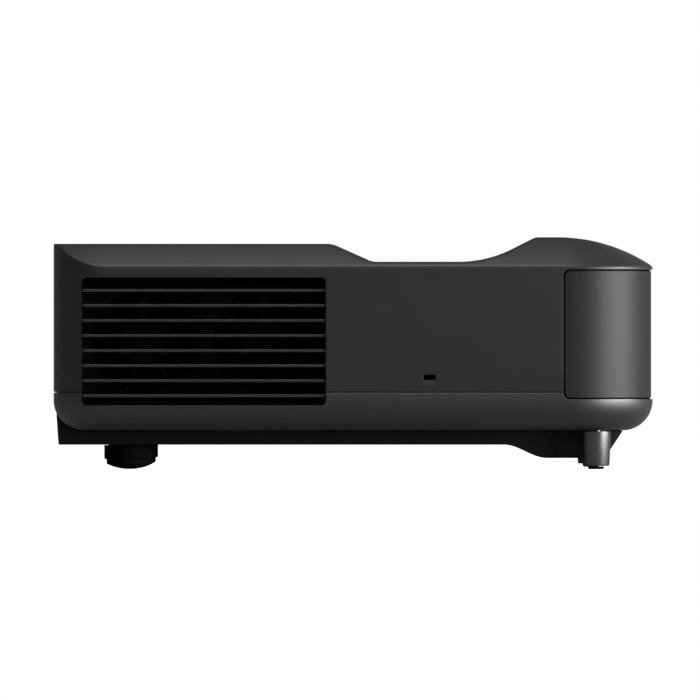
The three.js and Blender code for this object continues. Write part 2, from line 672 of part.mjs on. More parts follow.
function addLightEngine() {
  const laserBody = join(block(laser.x0, laser.x1, laser.y0, laser.y1, chassis.top + gap, laser.top),
    bar('x', beam.snout, laser.snoutLength, [laser.x1, beam.y, beam.z]));
  add('laser_module', toGeometry(laserBody), aluminium);
  const { radius, length, shaft, shaftLength } = wheelMotor;
  const motor = turned([[0, 0], [radius, 0], [radius, length], [shaft, length],
    [shaft, length + shaftLength], [0, length + shaftLength]]).rotateY(Math.PI / 2);
  add('wheel_motor', motor, steel, wheelMotor.x, wheel.y, wheel.z);
  const disc = turned([[wheel.bore, 0], [wheel.radius, 0], [wheel.radius, wheel.thickness],
    [wheel.bore, wheel.thickness], [wheel.bore, 0]], 32).rotateY(Math.PI / 2);
  add('phosphor_wheel', disc, phosphor, wheel.x, wheel.y, wheel.z);
  const body = join(block(engine.x0, engine.x1, engine.y0, engine.y1, chassis.top + gap, engine.top),
    block(-engine.flangeX, engine.flangeX, engine.flangeY, engine.y0, engine.flangeZ0, engine.flangeZ1));
  const port = bar('x', beam.port, beam.port, [engine.x0 - 1, beam.y, beam.z]);
  add('optical_block', toGeometry(cut(body, port)), aluminium);
}

// ---- projection lens with its focus ring, pinion and motor

// Tooth corners: how far each is from the tooth's middle, in pitches.
const toothRoot = 0.3;
const toothTip = 0.12;

// A gear's outline, with its teeth over part of the circle or all of it.
function gearShape(teeth, isTooth) {
  const pitchAngle = Math.PI * 2 / teeth;
  const pitchRadius = gearModule * teeth / 2;
  const root = pitchRadius - gearModule * 1.15;
  const tip = pitchRadius + gearModule * 0.8;
  const tooth = [[root, -toothRoot], [tip, -toothTip], [tip, toothTip], [root, toothRoot]];
  const shape = new THREE.Shape();
  for (let i = 0; i < teeth; i += 1) {
    const corners = isTooth(i) ? tooth : [[root, 0]];
    for (const [radius, turn] of corners) {
      const at = (i + turn) * pitchAngle;
      const point = [radius * Math.cos(at), radius * Math.sin(at)];
      if (shape.currentPoint.lengthSq() === 0) shape.moveTo(...point);
      else shape.lineTo(...point);
    }
  }
  return shape;
}

// The lens barrel from its rear flange forwards, as [radius, distance] steps that end in the front dome.
const lensRearY = engine.flangeY - gap;
const lensSteps = [[0, 0], [20, 0], [20, 30], [22.5, 32], [22.5, 62], [26.5, 64], [26.5, 84], [24, 86],
  [22, 83], [0, 90]];
const gearWidth = 8;
const gearY = 12;
const ringBore = 23;
const focusShaft = 2;
const focusMotor = { radius: 10, length: 22, footThickness: 2, footDrop: 30 };

function addLens() {
  const barrel = turned(lensSteps).rotateX(Math.PI / 2);
  add('lens_barrel', barrel, blackPlastic, 0, lensRearY, lensZ);
  const reach = ringTeeth / 8;
  const toothed = gearShape(ringTeeth, (i) => Math.min(i, ringTeeth - i) <= reach);
  const ring = cut(along(toothed, 0, gearWidth), bar('y', ringBore, gearWidth + 2, [0, -1, 0]));
  add('focus_ring', toGeometry(ring), blackPlastic, 0, gearY, lensZ);
  const pinion = join(along(gearShape(pinionTeeth, () => true), 0, gearWidth),
    bar('y', focusShaft, 5, [0, gearWidth - 1, 0], 16));
  const shaftX = ringPitchRadius + pinionPitchRadius;
  const halfTooth = Math.PI / pinionTeeth;
  const pinionMesh = add('focus_pinion', toGeometry(pinion), brass, shaftX, gearY, lensZ);
  pinionMesh.rotation.y = halfTooth;
  const { radius, length, footThickness, footDrop } = focusMotor;
  const motor = cut(join(bar('y', radius, length, [0, 0, 0]),
    block(-radius, radius, footThickness, 2 * footThickness, -footDrop, 0)),
  bar('y', focusShaft + gap, 6, [0, -1, 0], 16));
  add('focus_motor', toGeometry(motor), steel, shaftX, gearY + gearWidth + 2 * gap, lensZ);
}

// A bowl cut from a ball, trimmed to the width of the light cone and tilted to throw upwards.
const mirror = { radius: 95, thickness: 3, spread: 0.75, halfX: 58, low: -20, y: -158, z: 96, tilt: 0.3 };
const bracket = { inner: 62, outer: 70, front: -176, rear: -104, bottom: chassis.top + 10, top: 128, web: 3 };

function addMirror() {
  const { radius, thickness, spread, halfX, low } = mirror;
  const arc = evenly(0, spread, 6).concat(spread);
  const front = arc.map((angle) => [radius * Math.sin(angle), radius * (1 - Math.cos(angle))]).reverse();
  const back = arc.map((angle) => [(radius + thickness) * Math.sin(angle),
    radius - (radius + thickness) * Math.cos(angle)]);
  const bowl = toSolid(turned([...back, ...front]).rotateX(-Math.PI / 2));
  const dish = bowl.intersect(block(-halfX, halfX, low, radius, -halfX / 2, halfX / 2));
  const mirrorMesh = add('aspheric_mirror', toGeometry(dish), mirrorCoat, 0, mirror.y, mirror.z);
  mirrorMesh.rotation.x = mirror.tilt;
  const { inner, outer, front: y0, rear: y1, bottom, top, web } = bracket;
  const body = join(block(-outer, -inner, y0, y1, bottom, top), block(inner, outer, y0, y1, bottom, top),
    block(-outer, outer, y0, y1, bottom, bottom + web));
  add('mirror_bracket', toGeometry(body), blackPlastic);
}

// ---- cooling

const sink = { x0: -196, x1: -138, y0: 52, pitch: 6, fins: 16, fin: 1.2, bottom: 40, base: 46, top: 112 };
const heatPipe = { y: 96, z: 60, radius: 4 };

function addCooling() {
  const { x0, x1, y0, pitch, fins, fin, bottom, base, top } = sink;
  const plates = Array.from({ length: fins }, (_, i) => (
    block(x0, x1, y0 + i * pitch, y0 + i * pitch + fin, base, top)));
  const foot = block(x0, x1, y0, y0 + (fins - 1) * pitch + fin, bottom, base);
  add('heat_sink', toGeometry(join(foot, ...plates)), blackMetal);
  const pipeStart = x1 + gap * 3;
  const pipe = bar('x', heatPipe.radius, laser.x0 - gap * 3 - pipeStart, [pipeStart, heatPipe.y, heatPipe.z]);
  add('heat_pipe', toGeometry(pipe), copper);
}

function fanHousing() {
  const { size, depth, bore, hub, strut } = fan;
  const half = size / 2;
  const frame = cut(block(0, depth, -half, half, -half, half), bar('x', bore, depth + 2, [-1, 0, 0], 28));
  const boss = bar('x', hub, strut, [0, 0, 0], 20);
  const struts = [0, 120, 240].map((turn) => (
    block(0, strut, -strut * 0.75, strut * 0.75, 0, bore + 1).rotate([turn, 0, 0])));
  return toGeometry(join(frame, boss, ...struts));
}

function fanRotor() {
  const { depth, hub, rotor, blades, chord, twist, bladeThickness } = fan;
  const thickness = depth - 4;
  const vanes = Array.from({ length: blades }, (_, i) => {
    const vane = block(-bladeThickness / 2, bladeThickness / 2, -chord / 2, chord / 2, hub - 3, rotor);
    return vane.rotate([0, 0, twist]).translate([thickness / 2, 0, 0]).rotate([i * 360 / blades, 0, 0]);
  });
  return toGeometry(join(bar('x', hub, thickness, [0, 0, 0], 20), ...vanes));
}

const fans = [
  { name: 'exhaust_fan_rear', x: -216, y: 140.5, z: 85.3 },
  { name: 'exhaust_fan_front', x: -216, y: 60, z: 85.3 },
  { name: 'intake_fan', x: 196, y: 60, z: 88 },
];

function addFans() {
  const housing = fanHousing();
  const rotor = fanRotor();
  for (const { name, x, y, z } of fans) {
    add(`${name}_housing`, housing, panPlastic, x, y, z);
    add(`${name}_rotor`, rotor, panPlastic, x + fan.strut + 2 * gap, y, z);
  }
}

// ---- speakers and the remote control's receiver

const speaker = { x: 120, y: -126, z: 88, halfX: 44, depth: 62, halfZ: 34, cone: 28, wall: 2.5 };
// The cone, its surround and its dust cap, as [radius, distance behind the baffle].
const coneProfile = [[0, 9], [8, 11], [23, 0.8], [speaker.cone - 0.6, 0], [speaker.cone - 0.6, 1.5], [24, 3],
  [9, 14], [0, 14]];
const receiver = { halfX: 7, depth: 4, halfZ: 6, eye: 3, y: -halfDepth + 16, z: 122 };

function addSpeakers() {
  const { halfX, halfZ, depth, cone, wall: skin } = speaker;
  const outer = block(-halfX, halfX, -depth, 0, -halfZ, halfZ);
  const inner = block(-halfX + skin, halfX - skin, -depth + skin, -skin, -halfZ + skin, halfZ - skin);
  const hole = bar('y', cone, 2 * skin, [0, -depth - skin, 0]);
  const box = toGeometry(cut(outer, inner, hole));
  const coneBody = turned(coneProfile).rotateX(-Math.PI / 2);
  for (const [side, word] of [[-1, 'left'], [1, 'right']]) {
    const x = side * speaker.x;
    add(`speaker_box_${word}`, box, panPlastic, x, speaker.y, speaker.z);
    add(`speaker_cone_${word}`, coneBody, paperCone, x, speaker.y - depth, speaker.z);
  }
}

function addRemoteReceiver() {
  const { halfX, halfZ, depth, eye } = receiver;
  const lens = toSolid(new THREE.SphereGeometry(eye, 12, 8)).translate([0, -depth, 0]);
  const body = join(block(-halfX, halfX, -depth, 0, -halfZ, halfZ), lens);
  add('remote_receiver', toGeometry(body), glossPlastic, 0, receiver.y, receiver.z);
}

addUpperCase();
addLowerCase();
addBasePan();
addFeet();
addGrille();
addExhaustLouvres();
addFilterCover();
addAirFilter();
addWindow();
addSocketPanel();
addMainsInlet();
addControls();
addChassis();
addBoards();
addLightEngine();
addLens();
addMirror();
addCooling();
addFans();
addSpeakers();
addRemoteReceiver();

export default projector;
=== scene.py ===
# Ultra-short-throw home projector: the visible surfaces and materials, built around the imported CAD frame.
# Lengths in this script are millimetres, turned into metres when a mesh is made.
import math

import bmesh
import bpy
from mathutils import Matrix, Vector


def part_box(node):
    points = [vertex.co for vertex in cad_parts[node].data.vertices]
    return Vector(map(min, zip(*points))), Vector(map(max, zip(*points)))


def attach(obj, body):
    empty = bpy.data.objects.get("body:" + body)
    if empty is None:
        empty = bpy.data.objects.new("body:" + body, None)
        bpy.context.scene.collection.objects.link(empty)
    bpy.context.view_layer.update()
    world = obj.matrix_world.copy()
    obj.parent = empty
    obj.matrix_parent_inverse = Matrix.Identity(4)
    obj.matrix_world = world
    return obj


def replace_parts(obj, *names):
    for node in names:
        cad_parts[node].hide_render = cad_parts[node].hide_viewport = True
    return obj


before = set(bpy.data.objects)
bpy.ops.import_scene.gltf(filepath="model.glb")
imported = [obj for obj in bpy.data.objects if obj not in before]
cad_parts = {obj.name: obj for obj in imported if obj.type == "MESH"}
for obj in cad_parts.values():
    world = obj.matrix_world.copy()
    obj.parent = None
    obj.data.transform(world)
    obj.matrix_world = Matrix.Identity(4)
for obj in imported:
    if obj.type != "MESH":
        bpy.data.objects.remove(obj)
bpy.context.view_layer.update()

MM = 0.001


# ---------------------------------------------------------------- measures from the frame

def box_mm(node):
    low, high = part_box(node)
    return low / MM, high / MM


def middle_mm(node):
    low, high = box_mm(node)
    return (low + high) / 2


UPPER_LOW, UPPER_HIGH = box_mm("upper_case")
LOWER_LOW, LOWER_HIGH = box_mm("lower_case")
PAN_LOW, PAN_HIGH = box_mm("base_pan")
GRILLE_LOW, GRILLE_HIGH = box_mm("grille_cloth")
VENT_LOW, VENT_HIGH = box_mm("exhaust_louvres")

HALF_WIDTH = UPPER_HIGH.x
HALF_DEPTH = UPPER_HIGH.y
FRONT_RADIUS = 57
REAR_RADIUS = 34
WALL = 2.5

# Levels and lines of the top, from rear to front.
DOME_Z = UPPER_HIGH.z
DECK_Z = DOME_Z - 4.4
VALLEY_Z = DOME_Z - 16.4
CREASE_Z = DOME_Z - 19.4
DECK_FRONT_Y = 14
VALLEY_REAR_Y = -12.7
VALLEY_FRONT_Y = -70
RISE_ARC = 80
RISE_END_Y = -109
RISE_SLOPE = 0.5
DOME_Y = -137
DOME_ARC = 112
SIDE_SLOPE = 0.81
SIDE_CROWN = 0.0045
CROWN_SPAN = 20
CHAMFER_REACH = 45
REAR_EASE = 0.12
FILLET = 20

# Widths over which two faces of the top blend.
DECK_BLEND = 1.6
VALLEY_BLEND = 1.2
SIDE_BLEND = 1.6
RIDGE_BLEND = 1.0

EDGE_ROUND = 0.35


def smooth_min(a, b, width):
    """The lower of two values, with the corner between them rounded over a width."""
    h = max(0.0, min(1.0, 0.5 + 0.5 * (b - a) / width))
    return b + (a - b) * h - width * h * (1 - h)


def smooth_max(a, b, width):
    return -smooth_min(-a, -b, width)


def smoothstep(t):
    t = max(0.0, min(1.0, t))
    return t * t * (3 - 2 * t)


def rise_height(y):
    """The concave curve in front of the valley, and the straight slope that it ends in."""
    if y > VALLEY_FRONT_Y:
        return VALLEY_Z
    run = min(VALLEY_FRONT_Y - y, VALLEY_FRONT_Y - RISE_END_Y)
    height = VALLEY_Z + RISE_ARC - math.sqrt(RISE_ARC ** 2 - run ** 2)
    return height + max(0.0, RISE_END_Y - y) * RISE_SLOPE


def dome_fall(inward):
    """The dome's height at a distance inside the front edge."""
    run = max(0.0, DOME_Y + HALF_DEPTH - inward)
    return DOME_Z - DOME_ARC + math.sqrt(DOME_ARC ** 2 - run ** 2)


def top_profile(y):
    """Height of the top along the middle."""
    slope = (DECK_Z - VALLEY_Z) / (DECK_FRONT_Y - VALLEY_REAR_Y)
    if y > (VALLEY_REAR_Y + VALLEY_FRONT_Y) / 2:
        falling = VALLEY_Z + (y - VALLEY_REAR_Y) * slope
        return smooth_max(smooth_min(DECK_Z, falling, DECK_BLEND), VALLEY_Z, VALLEY_BLEND)
    return smooth_min(rise_height(y), dome_fall(y + HALF_DEPTH), RIDGE_BLEND)


def side_rise(inward, y):
    """The side chamfer, slightly crowned, and less steep round the rear corner."""
    ease = 1 - REAR_EASE * smoothstep((y - HALF_DEPTH + REAR_RADIUS) / REAR_RADIUS)
    return CREASE_Z + inward * (SIDE_SLOPE + SIDE_CROWN * (CROWN_SPAN - inward)) * ease


def top_height(x, y):
    """Height of the top anywhere. Round the front corners the side chamfer turns into the dome."""
    out_x = abs(x) - (HALF_WIDTH - FRONT_RADIUS)
    out_y = FRONT_RADIUS - HALF_DEPTH - y
    if out_x <= 0 or out_y <= 0:
        inward = HALF_WIDTH - abs(x)
        if inward > CHAMFER_REACH:
            return top_profile(y)
        return smooth_min(top_profile(y), side_rise(inward, y), SIDE_BLEND)
    inward = FRONT_RADIUS - math.hypot(out_x, out_y)
    turn = smoothstep(math.atan2(out_y, out_x) / (math.pi / 2))
    side = smooth_min(DOME_Z, side_rise(min(inward, CHAMFER_REACH), y), SIDE_BLEND)
    return smooth_min(side * (1 - turn) + dome_fall(inward) * turn, top_profile(y), RIDGE_BLEND)


# ---------------------------------------------------------------- mesh tools

def make(name, verts, faces, body="root"):
    """A mesh object from points in millimetres."""
    mesh = bpy.data.meshes.new(name)
    mesh.from_pydata([Vector(v) * MM for v in verts], [], faces)
    mesh.validate()
    obj = bpy.data.objects.new(name, mesh)
    bpy.context.scene.collection.objects.link(obj)
    if body:
        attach(obj, body)
    return obj


def settle(obj):
    """Applies every modifier to the object's own mesh."""
    graph = bpy.context.evaluated_depsgraph_get()
    mesh = bpy.data.meshes.new_from_object(obj.evaluated_get(graph))
    obj.modifiers.clear()
    obj.data = mesh


def drop(obj):
    bpy.data.objects.remove(obj, do_unlink=True)


def carve(obj, *cutters):
    """Cuts other solids out of an object."""
    for cutter in cutters:
        cut = obj.modifiers.new("cut", "BOOLEAN")
        cut.operation = "DIFFERENCE"
        cut.solver = "EXACT"
        cut.object = cutter
    settle(obj)
    for cutter in cutters:
        drop(cutter)


def soften(obj, width, segments=2, angle=35):
    """Rounds the sharp edges and shades the rest smooth."""
    bevel = obj.modifiers.new("round", "BEVEL")
    bevel.width = width * MM
    bevel.segments = segments
    bevel.limit_method = "ANGLE"
    bevel.angle_limit = math.radians(angle)
    bevel.use_clamp_overlap = True
    bevel.miter_outer = "MITER_ARC"
    settle(obj)
    shade(obj)


def shade(obj, angle=40):
    obj.data.shade_smooth()
    obj.data.set_sharp_from_angle(angle=math.radians(angle))


def merge(*objects):
    """Joins several pieces into the first."""
    first = objects[0]
    merged = bmesh.new()
    for obj in objects:
        merged.from_mesh(obj.data)
    merged.to_mesh(first.data)
    merged.free()
    for obj in objects[1:]:
        drop(obj)
    return first


def fix_normals(obj):
    """Turns every face outwards."""
    mesh = bmesh.new()
    mesh.from_mesh(obj.data)
    bmesh.ops.recalc_face_normals(mesh, faces=mesh.faces)
    mesh.to_mesh(obj.data)
    mesh.free()


def arc(cx, cy, radius, start, end, steps):
    """Points along an arc, between two angles in degrees."""
    return [(cx + radius * math.cos(math.radians(start + (end - start) * i / steps)),
             cy + radius * math.sin(math.radians(start + (end - start) * i / steps))) for i in range(steps + 1)]


def rounded_rect(u0, u1, v0, v1, radius, steps=6):
    """Corner points of a rectangle with round corners, anticlockwise."""
    return (arc(u1 - radius, v0 + radius, radius, -90, 0, steps) + arc(u1 - radius, v1 - radius, radius, 0, 90, steps)
            + arc(u0 + radius, v1 - radius, radius, 90, 180, steps)
            + arc(u0 + radius, v0 + radius, radius, 180, 270, steps))


AXIS_MAPS = {
    "x": lambda u, v, w: (w, u, v),
    "y": lambda u, v, w: (u, -w, v),
    "z": lambda u, v, w: (u, v, w),
}


def prism(name, outline, axis, start, end, body="root", holes=()):
    """An outline run along an axis. Along x it is drawn in (y, z), along y in (x, z), along z in (x, y)."""
    place = AXIS_MAPS[axis]
    low, high = sorted((-start, -end) if axis == "y" else (start, end))
    verts = [place(u, v, low) for u, v in outline] + [place(u, v, high) for u, v in outline]
    n = len(outline)
    faces = [tuple(reversed(range(n))), tuple(range(n, 2 * n))]
    faces += [(i, (i + 1) % n, n + (i + 1) % n, n + i) for i in range(n)]
    obj = make(name, verts, faces, body)
    if holes:
        past = 1 if start < end else -1
        cutters = [prism("hole", hole, axis, start - past, end + past, None) for hole in holes]
        carve(obj, *cutters)
    return obj


def lathe(name, profile, centre, axis="z", steps=72, body="root"):
    """A body turned about an axis from (radius, height) points, first and last on the axis."""
    place = AXIS_MAPS[axis]
    verts, faces, rows = [], [], []
    for radius, height in profile:
        if radius < 1e-6:
            rows.append([len(verts)] * steps)
            verts.append(place(0, 0, height))
        else:
            rows.append(list(range(len(verts), len(verts) + steps)))
            verts += [place(radius * math.cos(math.tau * i / steps), radius * math.sin(math.tau * i / steps), height)
                      for i in range(steps)]
    for lower, upper in zip(rows, rows[1:]):
        for i in range(steps):
            j = (i + 1) % steps
            quad = [lower[i], lower[j], upper[j], upper[i]]
            face = [v for k, v in enumerate(quad) if v != quad[k - 1]]
            if len(face) > 2:
                faces.append(tuple(face))
    verts = [tuple(a + b for a, b in zip(v, centre)) for v in verts]
    return make(name, verts, faces, body)


# ---------------------------------------------------------------- the case's plan

FRONT_ARC_STEPS = 22
REAR_ARC_STEPS = 16
COLUMNS = [-1 + 2 * i / 36 for i in range(37)]


def spaced(start, end, step):
    """Even steps from start, without the end itself."""
    count = max(1, round(abs(end - start) / step))
    return [start + (end - start) * i / count for i in range(count)]


# Rows along the side, closer together where the top turns.
SIDE_ROWS = (
    spaced(FRONT_RADIUS - HALF_DEPTH, -126, 2.2) + spaced(-126, -118, 0.8) + spaced(-118, -66, 2.0)
    + spaced(-66, -16, 5) + spaced(-16, -10, 0.6) + spaced(-10, 11, 3) + spaced(11, 17, 0.5)
    + spaced(17, HALF_DEPTH - REAR_RADIUS, 6) + [HALF_DEPTH - REAR_RADIUS]
)


def right_side(inset):
    """Points up the right side of the plan, from the front straight's end to the rear straight's end."""
    front = FRONT_RADIUS - inset
    rear = max(REAR_RADIUS - inset, 0.5)
    x = HALF_WIDTH - inset
    points = arc(x - front, front - HALF_DEPTH + inset, front, -90, 0, FRONT_ARC_STEPS)[:-1]
    points += [(x, y) for y in SIDE_ROWS]
    points += arc(x - rear, HALF_DEPTH - inset - rear, rear, 0, 90, REAR_ARC_STEPS)[1:]
    return points


def ring(inset):
    """The plan at an inset, as a closed ring: front straight, right side, rear straight, left side."""
    right = right_side(inset)
    front_x, front_y = right[0]
    rear_x, rear_y = right[-1]
    points = [(c * front_x, front_y) for c in COLUMNS]
    points += right[1:]
    points += [(c * rear_x, rear_y) for c in reversed(COLUMNS[:-1])]
    points += [(-x, y) for x, y in reversed(right[1:-1])]
    return points


def cap_faces(base, inner, first_inner_row):
    """Faces of the grid that closes the innermost ring. base is that ring's first index."""
    columns = len(COLUMNS)
    rows = len(inner)
    count = 2 * (columns - 1) + 2 * rows

    def vertex(row, column):
        if row == 0:
            return base + column
        if row == rows:
            return base + (columns - 1) + rows + (columns - 1 - column)
        if column == 0:
            return base + count - row
        if column == columns - 1:
            return base + columns - 1 + row
        return first_inner_row + (row - 1) * (columns - 2) + column - 1

    return [(vertex(r, c), vertex(r, c + 1), vertex(r + 1, c + 1), vertex(r + 1, c))
            for r in range(rows) for c in range(columns - 1)]


def skin(levels, height_at):
    """A bowl-shaped skin: rings of (inset, height function), then a grid across the last ring."""
    verts, faces = [], []
    count = len(ring(0))
    for inset, height in levels:
        verts += [(x, y, height(x, y)) for x, y in ring(inset)]
    for k in range(len(levels) - 1):
        for i in range(count):
            j = (i + 1) % count
            faces.append((k * count + i, k * count + j, (k + 1) * count + j, (k + 1) * count + i))
    base = (len(levels) - 1) * count
    right = right_side(levels[-1][0])
    inner = right[1:]
    first = len(verts)
    for x, y in inner[:-1]:
        verts += [(c * x, y, height_at(c * x, y)) for c in COLUMNS[1:-1]]
    faces += cap_faces(base, inner, first)
    return verts, faces, count


def shell(name, outer, inner):
    """Two skins joined round their first rings."""
    verts, faces, count = outer
    inner_verts, inner_faces, _ = inner
    offset = len(verts)
    faces = faces + [tuple(v + offset for v in reversed(face)) for face in inner_faces]
    faces += [((i + 1) % count, i, offset + i, offset + (i + 1) % count) for i in range(count)]
    return make(name, verts + inner_verts, faces)


# ---------------------------------------------------------------- materials

def shader_of(material):
    return material.node_tree.nodes["Principled BSDF"]


def node_material(name, color, roughness, metallic=0.0, specular=0.5):
    material = bpy.data.materials.new(name)
    material.use_nodes = True
    shader = shader_of(material)
    shader.inputs["Base Color"].default_value = (*color, 1)
    shader.inputs["Roughness"].default_value = roughness
    shader.inputs["Metallic"].default_value = metallic
    shader.inputs["Specular IOR Level"].default_value = specular
    return material


def link(material, source, target):
    material.node_tree.links.new(source, target)


def coordinates(material, scale=(1, 1, 1)):
    """The object's own coordinates, stretched along the axes with a small scale."""
    nodes = material.node_tree.nodes
    coords = nodes.new("ShaderNodeTexCoord")
    mapping = nodes.new("ShaderNodeMapping")
    mapping.inputs["Scale"].default_value = scale
    link(material, coords.outputs["Object"], mapping.inputs["Vector"])
    return mapping.outputs["Vector"]


def noise(material, vector, size, detail=3, rough=0.5):
    """Noise whose blobs are about size millimetres across."""
    texture = material.node_tree.nodes.new("ShaderNodeTexNoise")
    texture.inputs["Scale"].default_value = 1 / (size * MM)
    texture.inputs["Detail"].default_value = detail
    texture.inputs["Roughness"].default_value = rough
    link(material, vector, texture.inputs["Vector"])
    return texture.outputs["Fac"]


def remap(material, value, low, high, from_low=0.3, from_high=0.7):
    """Spreads a value over a new range. The default suits noise, which stays near the middle."""
    node = material.node_tree.nodes.new("ShaderNodeMapRange")
    node.inputs["From Min"].default_value = from_low
    node.inputs["From Max"].default_value = from_high
    node.inputs["To Min"].default_value = low
    node.inputs["To Max"].default_value = high
    link(material, value, node.inputs["Value"])
    return node.outputs["Result"]


def tint(material, factor, dark, light):
    """A colour between two, by a factor."""
    node = material.node_tree.nodes.new("ShaderNodeMix")
    node.data_type = "RGBA"
    node.inputs["A"].default_value = (*dark, 1)
    node.inputs["B"].default_value = (*light, 1)
    link(material, factor, node.inputs["Factor"])
    return node.outputs["Result"]


def bump(material, height, depth, before=None):
    """A bump of a depth in millimetres."""
    node = material.node_tree.nodes.new("ShaderNodeBump")
    node.inputs["Distance"].default_value = depth * MM
    node.inputs["Strength"].default_value = 1
    link(material, height, node.inputs["Height"])
    if before:
        link(material, before, node.inputs["Normal"])
    return node.outputs["Normal"]


def moulded(name, color, roughness, specular, grain=0.35, grain_depth=0.02, spread=0.12):
    """Moulded plastic or rubber: spark-eroded grain, faint colour drift, and patches of wear in the gloss."""
    material = node_material(name, color, roughness, 0, specular)
    vector = coordinates(material)
    fine = noise(material, vector, grain, 4, 0.6)
    broad = noise(material, vector, 28, 3, 0.55)
    shader = shader_of(material)
    dark = tuple(c * (1 - spread) for c in color)
    light = tuple(c * (1 + spread) for c in color)
    link(material, tint(material, remap(material, broad, 0, 1), dark, light), shader.inputs["Base Color"])
    link(material, remap(material, fine, roughness - 0.05, roughness + 0.05), shader.inputs["Roughness"])
    link(material, bump(material, fine, grain_depth), shader.inputs["Normal"])
    return material


def metal(name, color, roughness, stretch=(1, 1, 1), scratch=0.4, depth=0.004):
    """Metal with a grain that runs along the axis with the smallest stretch."""
    material = node_material(name, color, roughness, 1.0)
    vector = coordinates(material, stretch)
    fine = noise(material, vector, scratch, 4, 0.6)
    broad = noise(material, coordinates(material), 16, 2)
    shader = shader_of(material)
    dark = tuple(c * 0.85 for c in color)
    link(material, tint(material, remap(material, broad, 0, 1), dark, color), shader.inputs["Base Color"])
    link(material, remap(material, fine, roughness - 0.08, roughness + 0.1), shader.inputs["Roughness"])
    link(material, bump(material, fine, depth), shader.inputs["Normal"])
    return material


def woven(name, color, pitch, depth, roughness, specular):
    """Fine woven cloth: threads up and down crossing threads round the case."""
    material = node_material(name, color, roughness, 0, specular)
    nodes = material.node_tree.nodes
    coords = nodes.new("ShaderNodeTexCoord")
    split = nodes.new("ShaderNodeSeparateXYZ")
    link(material, coords.outputs["UV"], split.inputs["Vector"])

    def wave(value):
        scaled = nodes.new("ShaderNodeMath")
        scaled.operation = "MULTIPLY"
        scaled.inputs[1].default_value = math.tau / pitch
        link(material, value, scaled.inputs[0])
        wavy = nodes.new("ShaderNodeMath")
        wavy.operation = "SINE"
        link(material, scaled.outputs[0], wavy.inputs[0])
        return wavy.outputs[0]

    product = nodes.new("ShaderNodeMath")
    product.operation = "MULTIPLY"
    link(material, wave(split.outputs["X"]), product.inputs[0])
    link(material, wave(split.outputs["Y"]), product.inputs[1])
    thread = product.outputs[0]
    shader = shader_of(material)
    slub = noise(material, coordinates(material, (1, 1, 0.06)), 0.8, 2)
    mixed = nodes.new("ShaderNodeMath")
    mixed.operation = "MULTIPLY_ADD"
    mixed.inputs[1].default_value = 0.5
    link(material, thread, mixed.inputs[0])
    link(material, slub, mixed.inputs[2])
    dark = tuple(c * 0.45 for c in color)
    link(material, tint(material, remap(material, mixed.outputs[0], 0, 1, 0.1, 0.9), dark, color),
         shader.inputs["Base Color"])
    link(material, bump(material, mixed.outputs[0], depth), shader.inputs["Normal"])
    return material


case_black = moulded("case_black", (0.0115, 0.0115, 0.0134), 0.42, 0.3, 0.4, 0.010, 0.06)
pan_black = moulded("pan_black", (0.0045, 0.0045, 0.005), 0.5, 0.16, 0.6, 0.015, 0.1)
low_black = moulded("low_black", (0.0012, 0.0012, 0.0022), 0.44, 0.66, 0.5, 0.008)
# Near-black with hardly any gloss: painted shade, given to the parts inside the case and to the sheets that hide the
# inside, so it reads dark.
painted_shade_black = moulded("painted_shade_black", (0.001, 0.001, 0.0011), 0.7, 0.02, 0.6, 0.015, 0.2)
gloss_black = moulded("gloss_black", (0.004, 0.004, 0.0045), 0.09, 0.5, 2.5, 0.0015, 0.1)
rubber_black = moulded("rubber_black", (0.0018, 0.0018, 0.0018), 0.8, 0.06, 0.8, 0.03, 0.2)
cone_black = moulded("cone_black", (0.01, 0.01, 0.011), 0.85, 0.2, 1.1, 0.05, 0.2)
foam_grey = moulded("foam_grey", (0.03, 0.03, 0.033), 0.9, 0.15, 0.7, 0.15, 0.2)
board_green = moulded("board_green", (0.008, 0.06, 0.024), 0.35, 0.4, 1.5, 0.01, 0.25)
phosphor_yellow = moulded("phosphor_yellow", (0.5, 0.38, 0.05), 0.6, 0.3, 0.5, 0.02, 0.1)
lamp_white = moulded("lamp_white", (0.5, 0.54, 0.56), 0.35, 0.5, 0.6, 0.004, 0.05)
grille_weave = woven("grille_weave", (0.013, 0.013, 0.0135), 0.0011, 0.04, 0.46, 0.15)
foot_grey = metal("foot_grey", (0.11, 0.11, 0.114), 0.34, (1, 1, 0.04), 0.5, 0.0002)
steel = metal("steel", (0.42, 0.42, 0.43), 0.35, (0.05, 1, 1))
aluminium = metal("aluminium", (0.55, 0.56, 0.57), 0.42, (1, 1, 1), 0.7, 0.01)
copper = metal("copper", (0.62, 0.3, 0.16), 0.3, (0.1, 1, 1))
brass = metal("brass", (0.6, 0.44, 0.18), 0.3, (1, 1, 0.2))
mirror_silver = metal("mirror_silver", (0.9, 0.9, 0.91), 0.06, (1, 1, 1), 6, 0.0002)


def glass_material():
    material = node_material("window_glass_coated", (0.55, 0.6, 0.62), 0.03, 0, 0.5)
    shader = shader_of(material)
    shader.inputs["Transmission Weight"].default_value = 0.85
    shader.inputs["IOR"].default_value = 1.5
    vector = coordinates(material)
    smear = noise(material, vector, 18, 4)
    link(material, remap(material, smear, 0.02, 0.07), shader.inputs["Roughness"])
    link(material, bump(material, smear, 0.002), shader.inputs["Normal"])
    return material


window_glass = glass_material()


def wear(obj, material):
    """Gives a new piece its material."""
    obj.data.materials.clear()
    obj.data.materials.append(material)


# ---------------------------------------------------------------- upper case

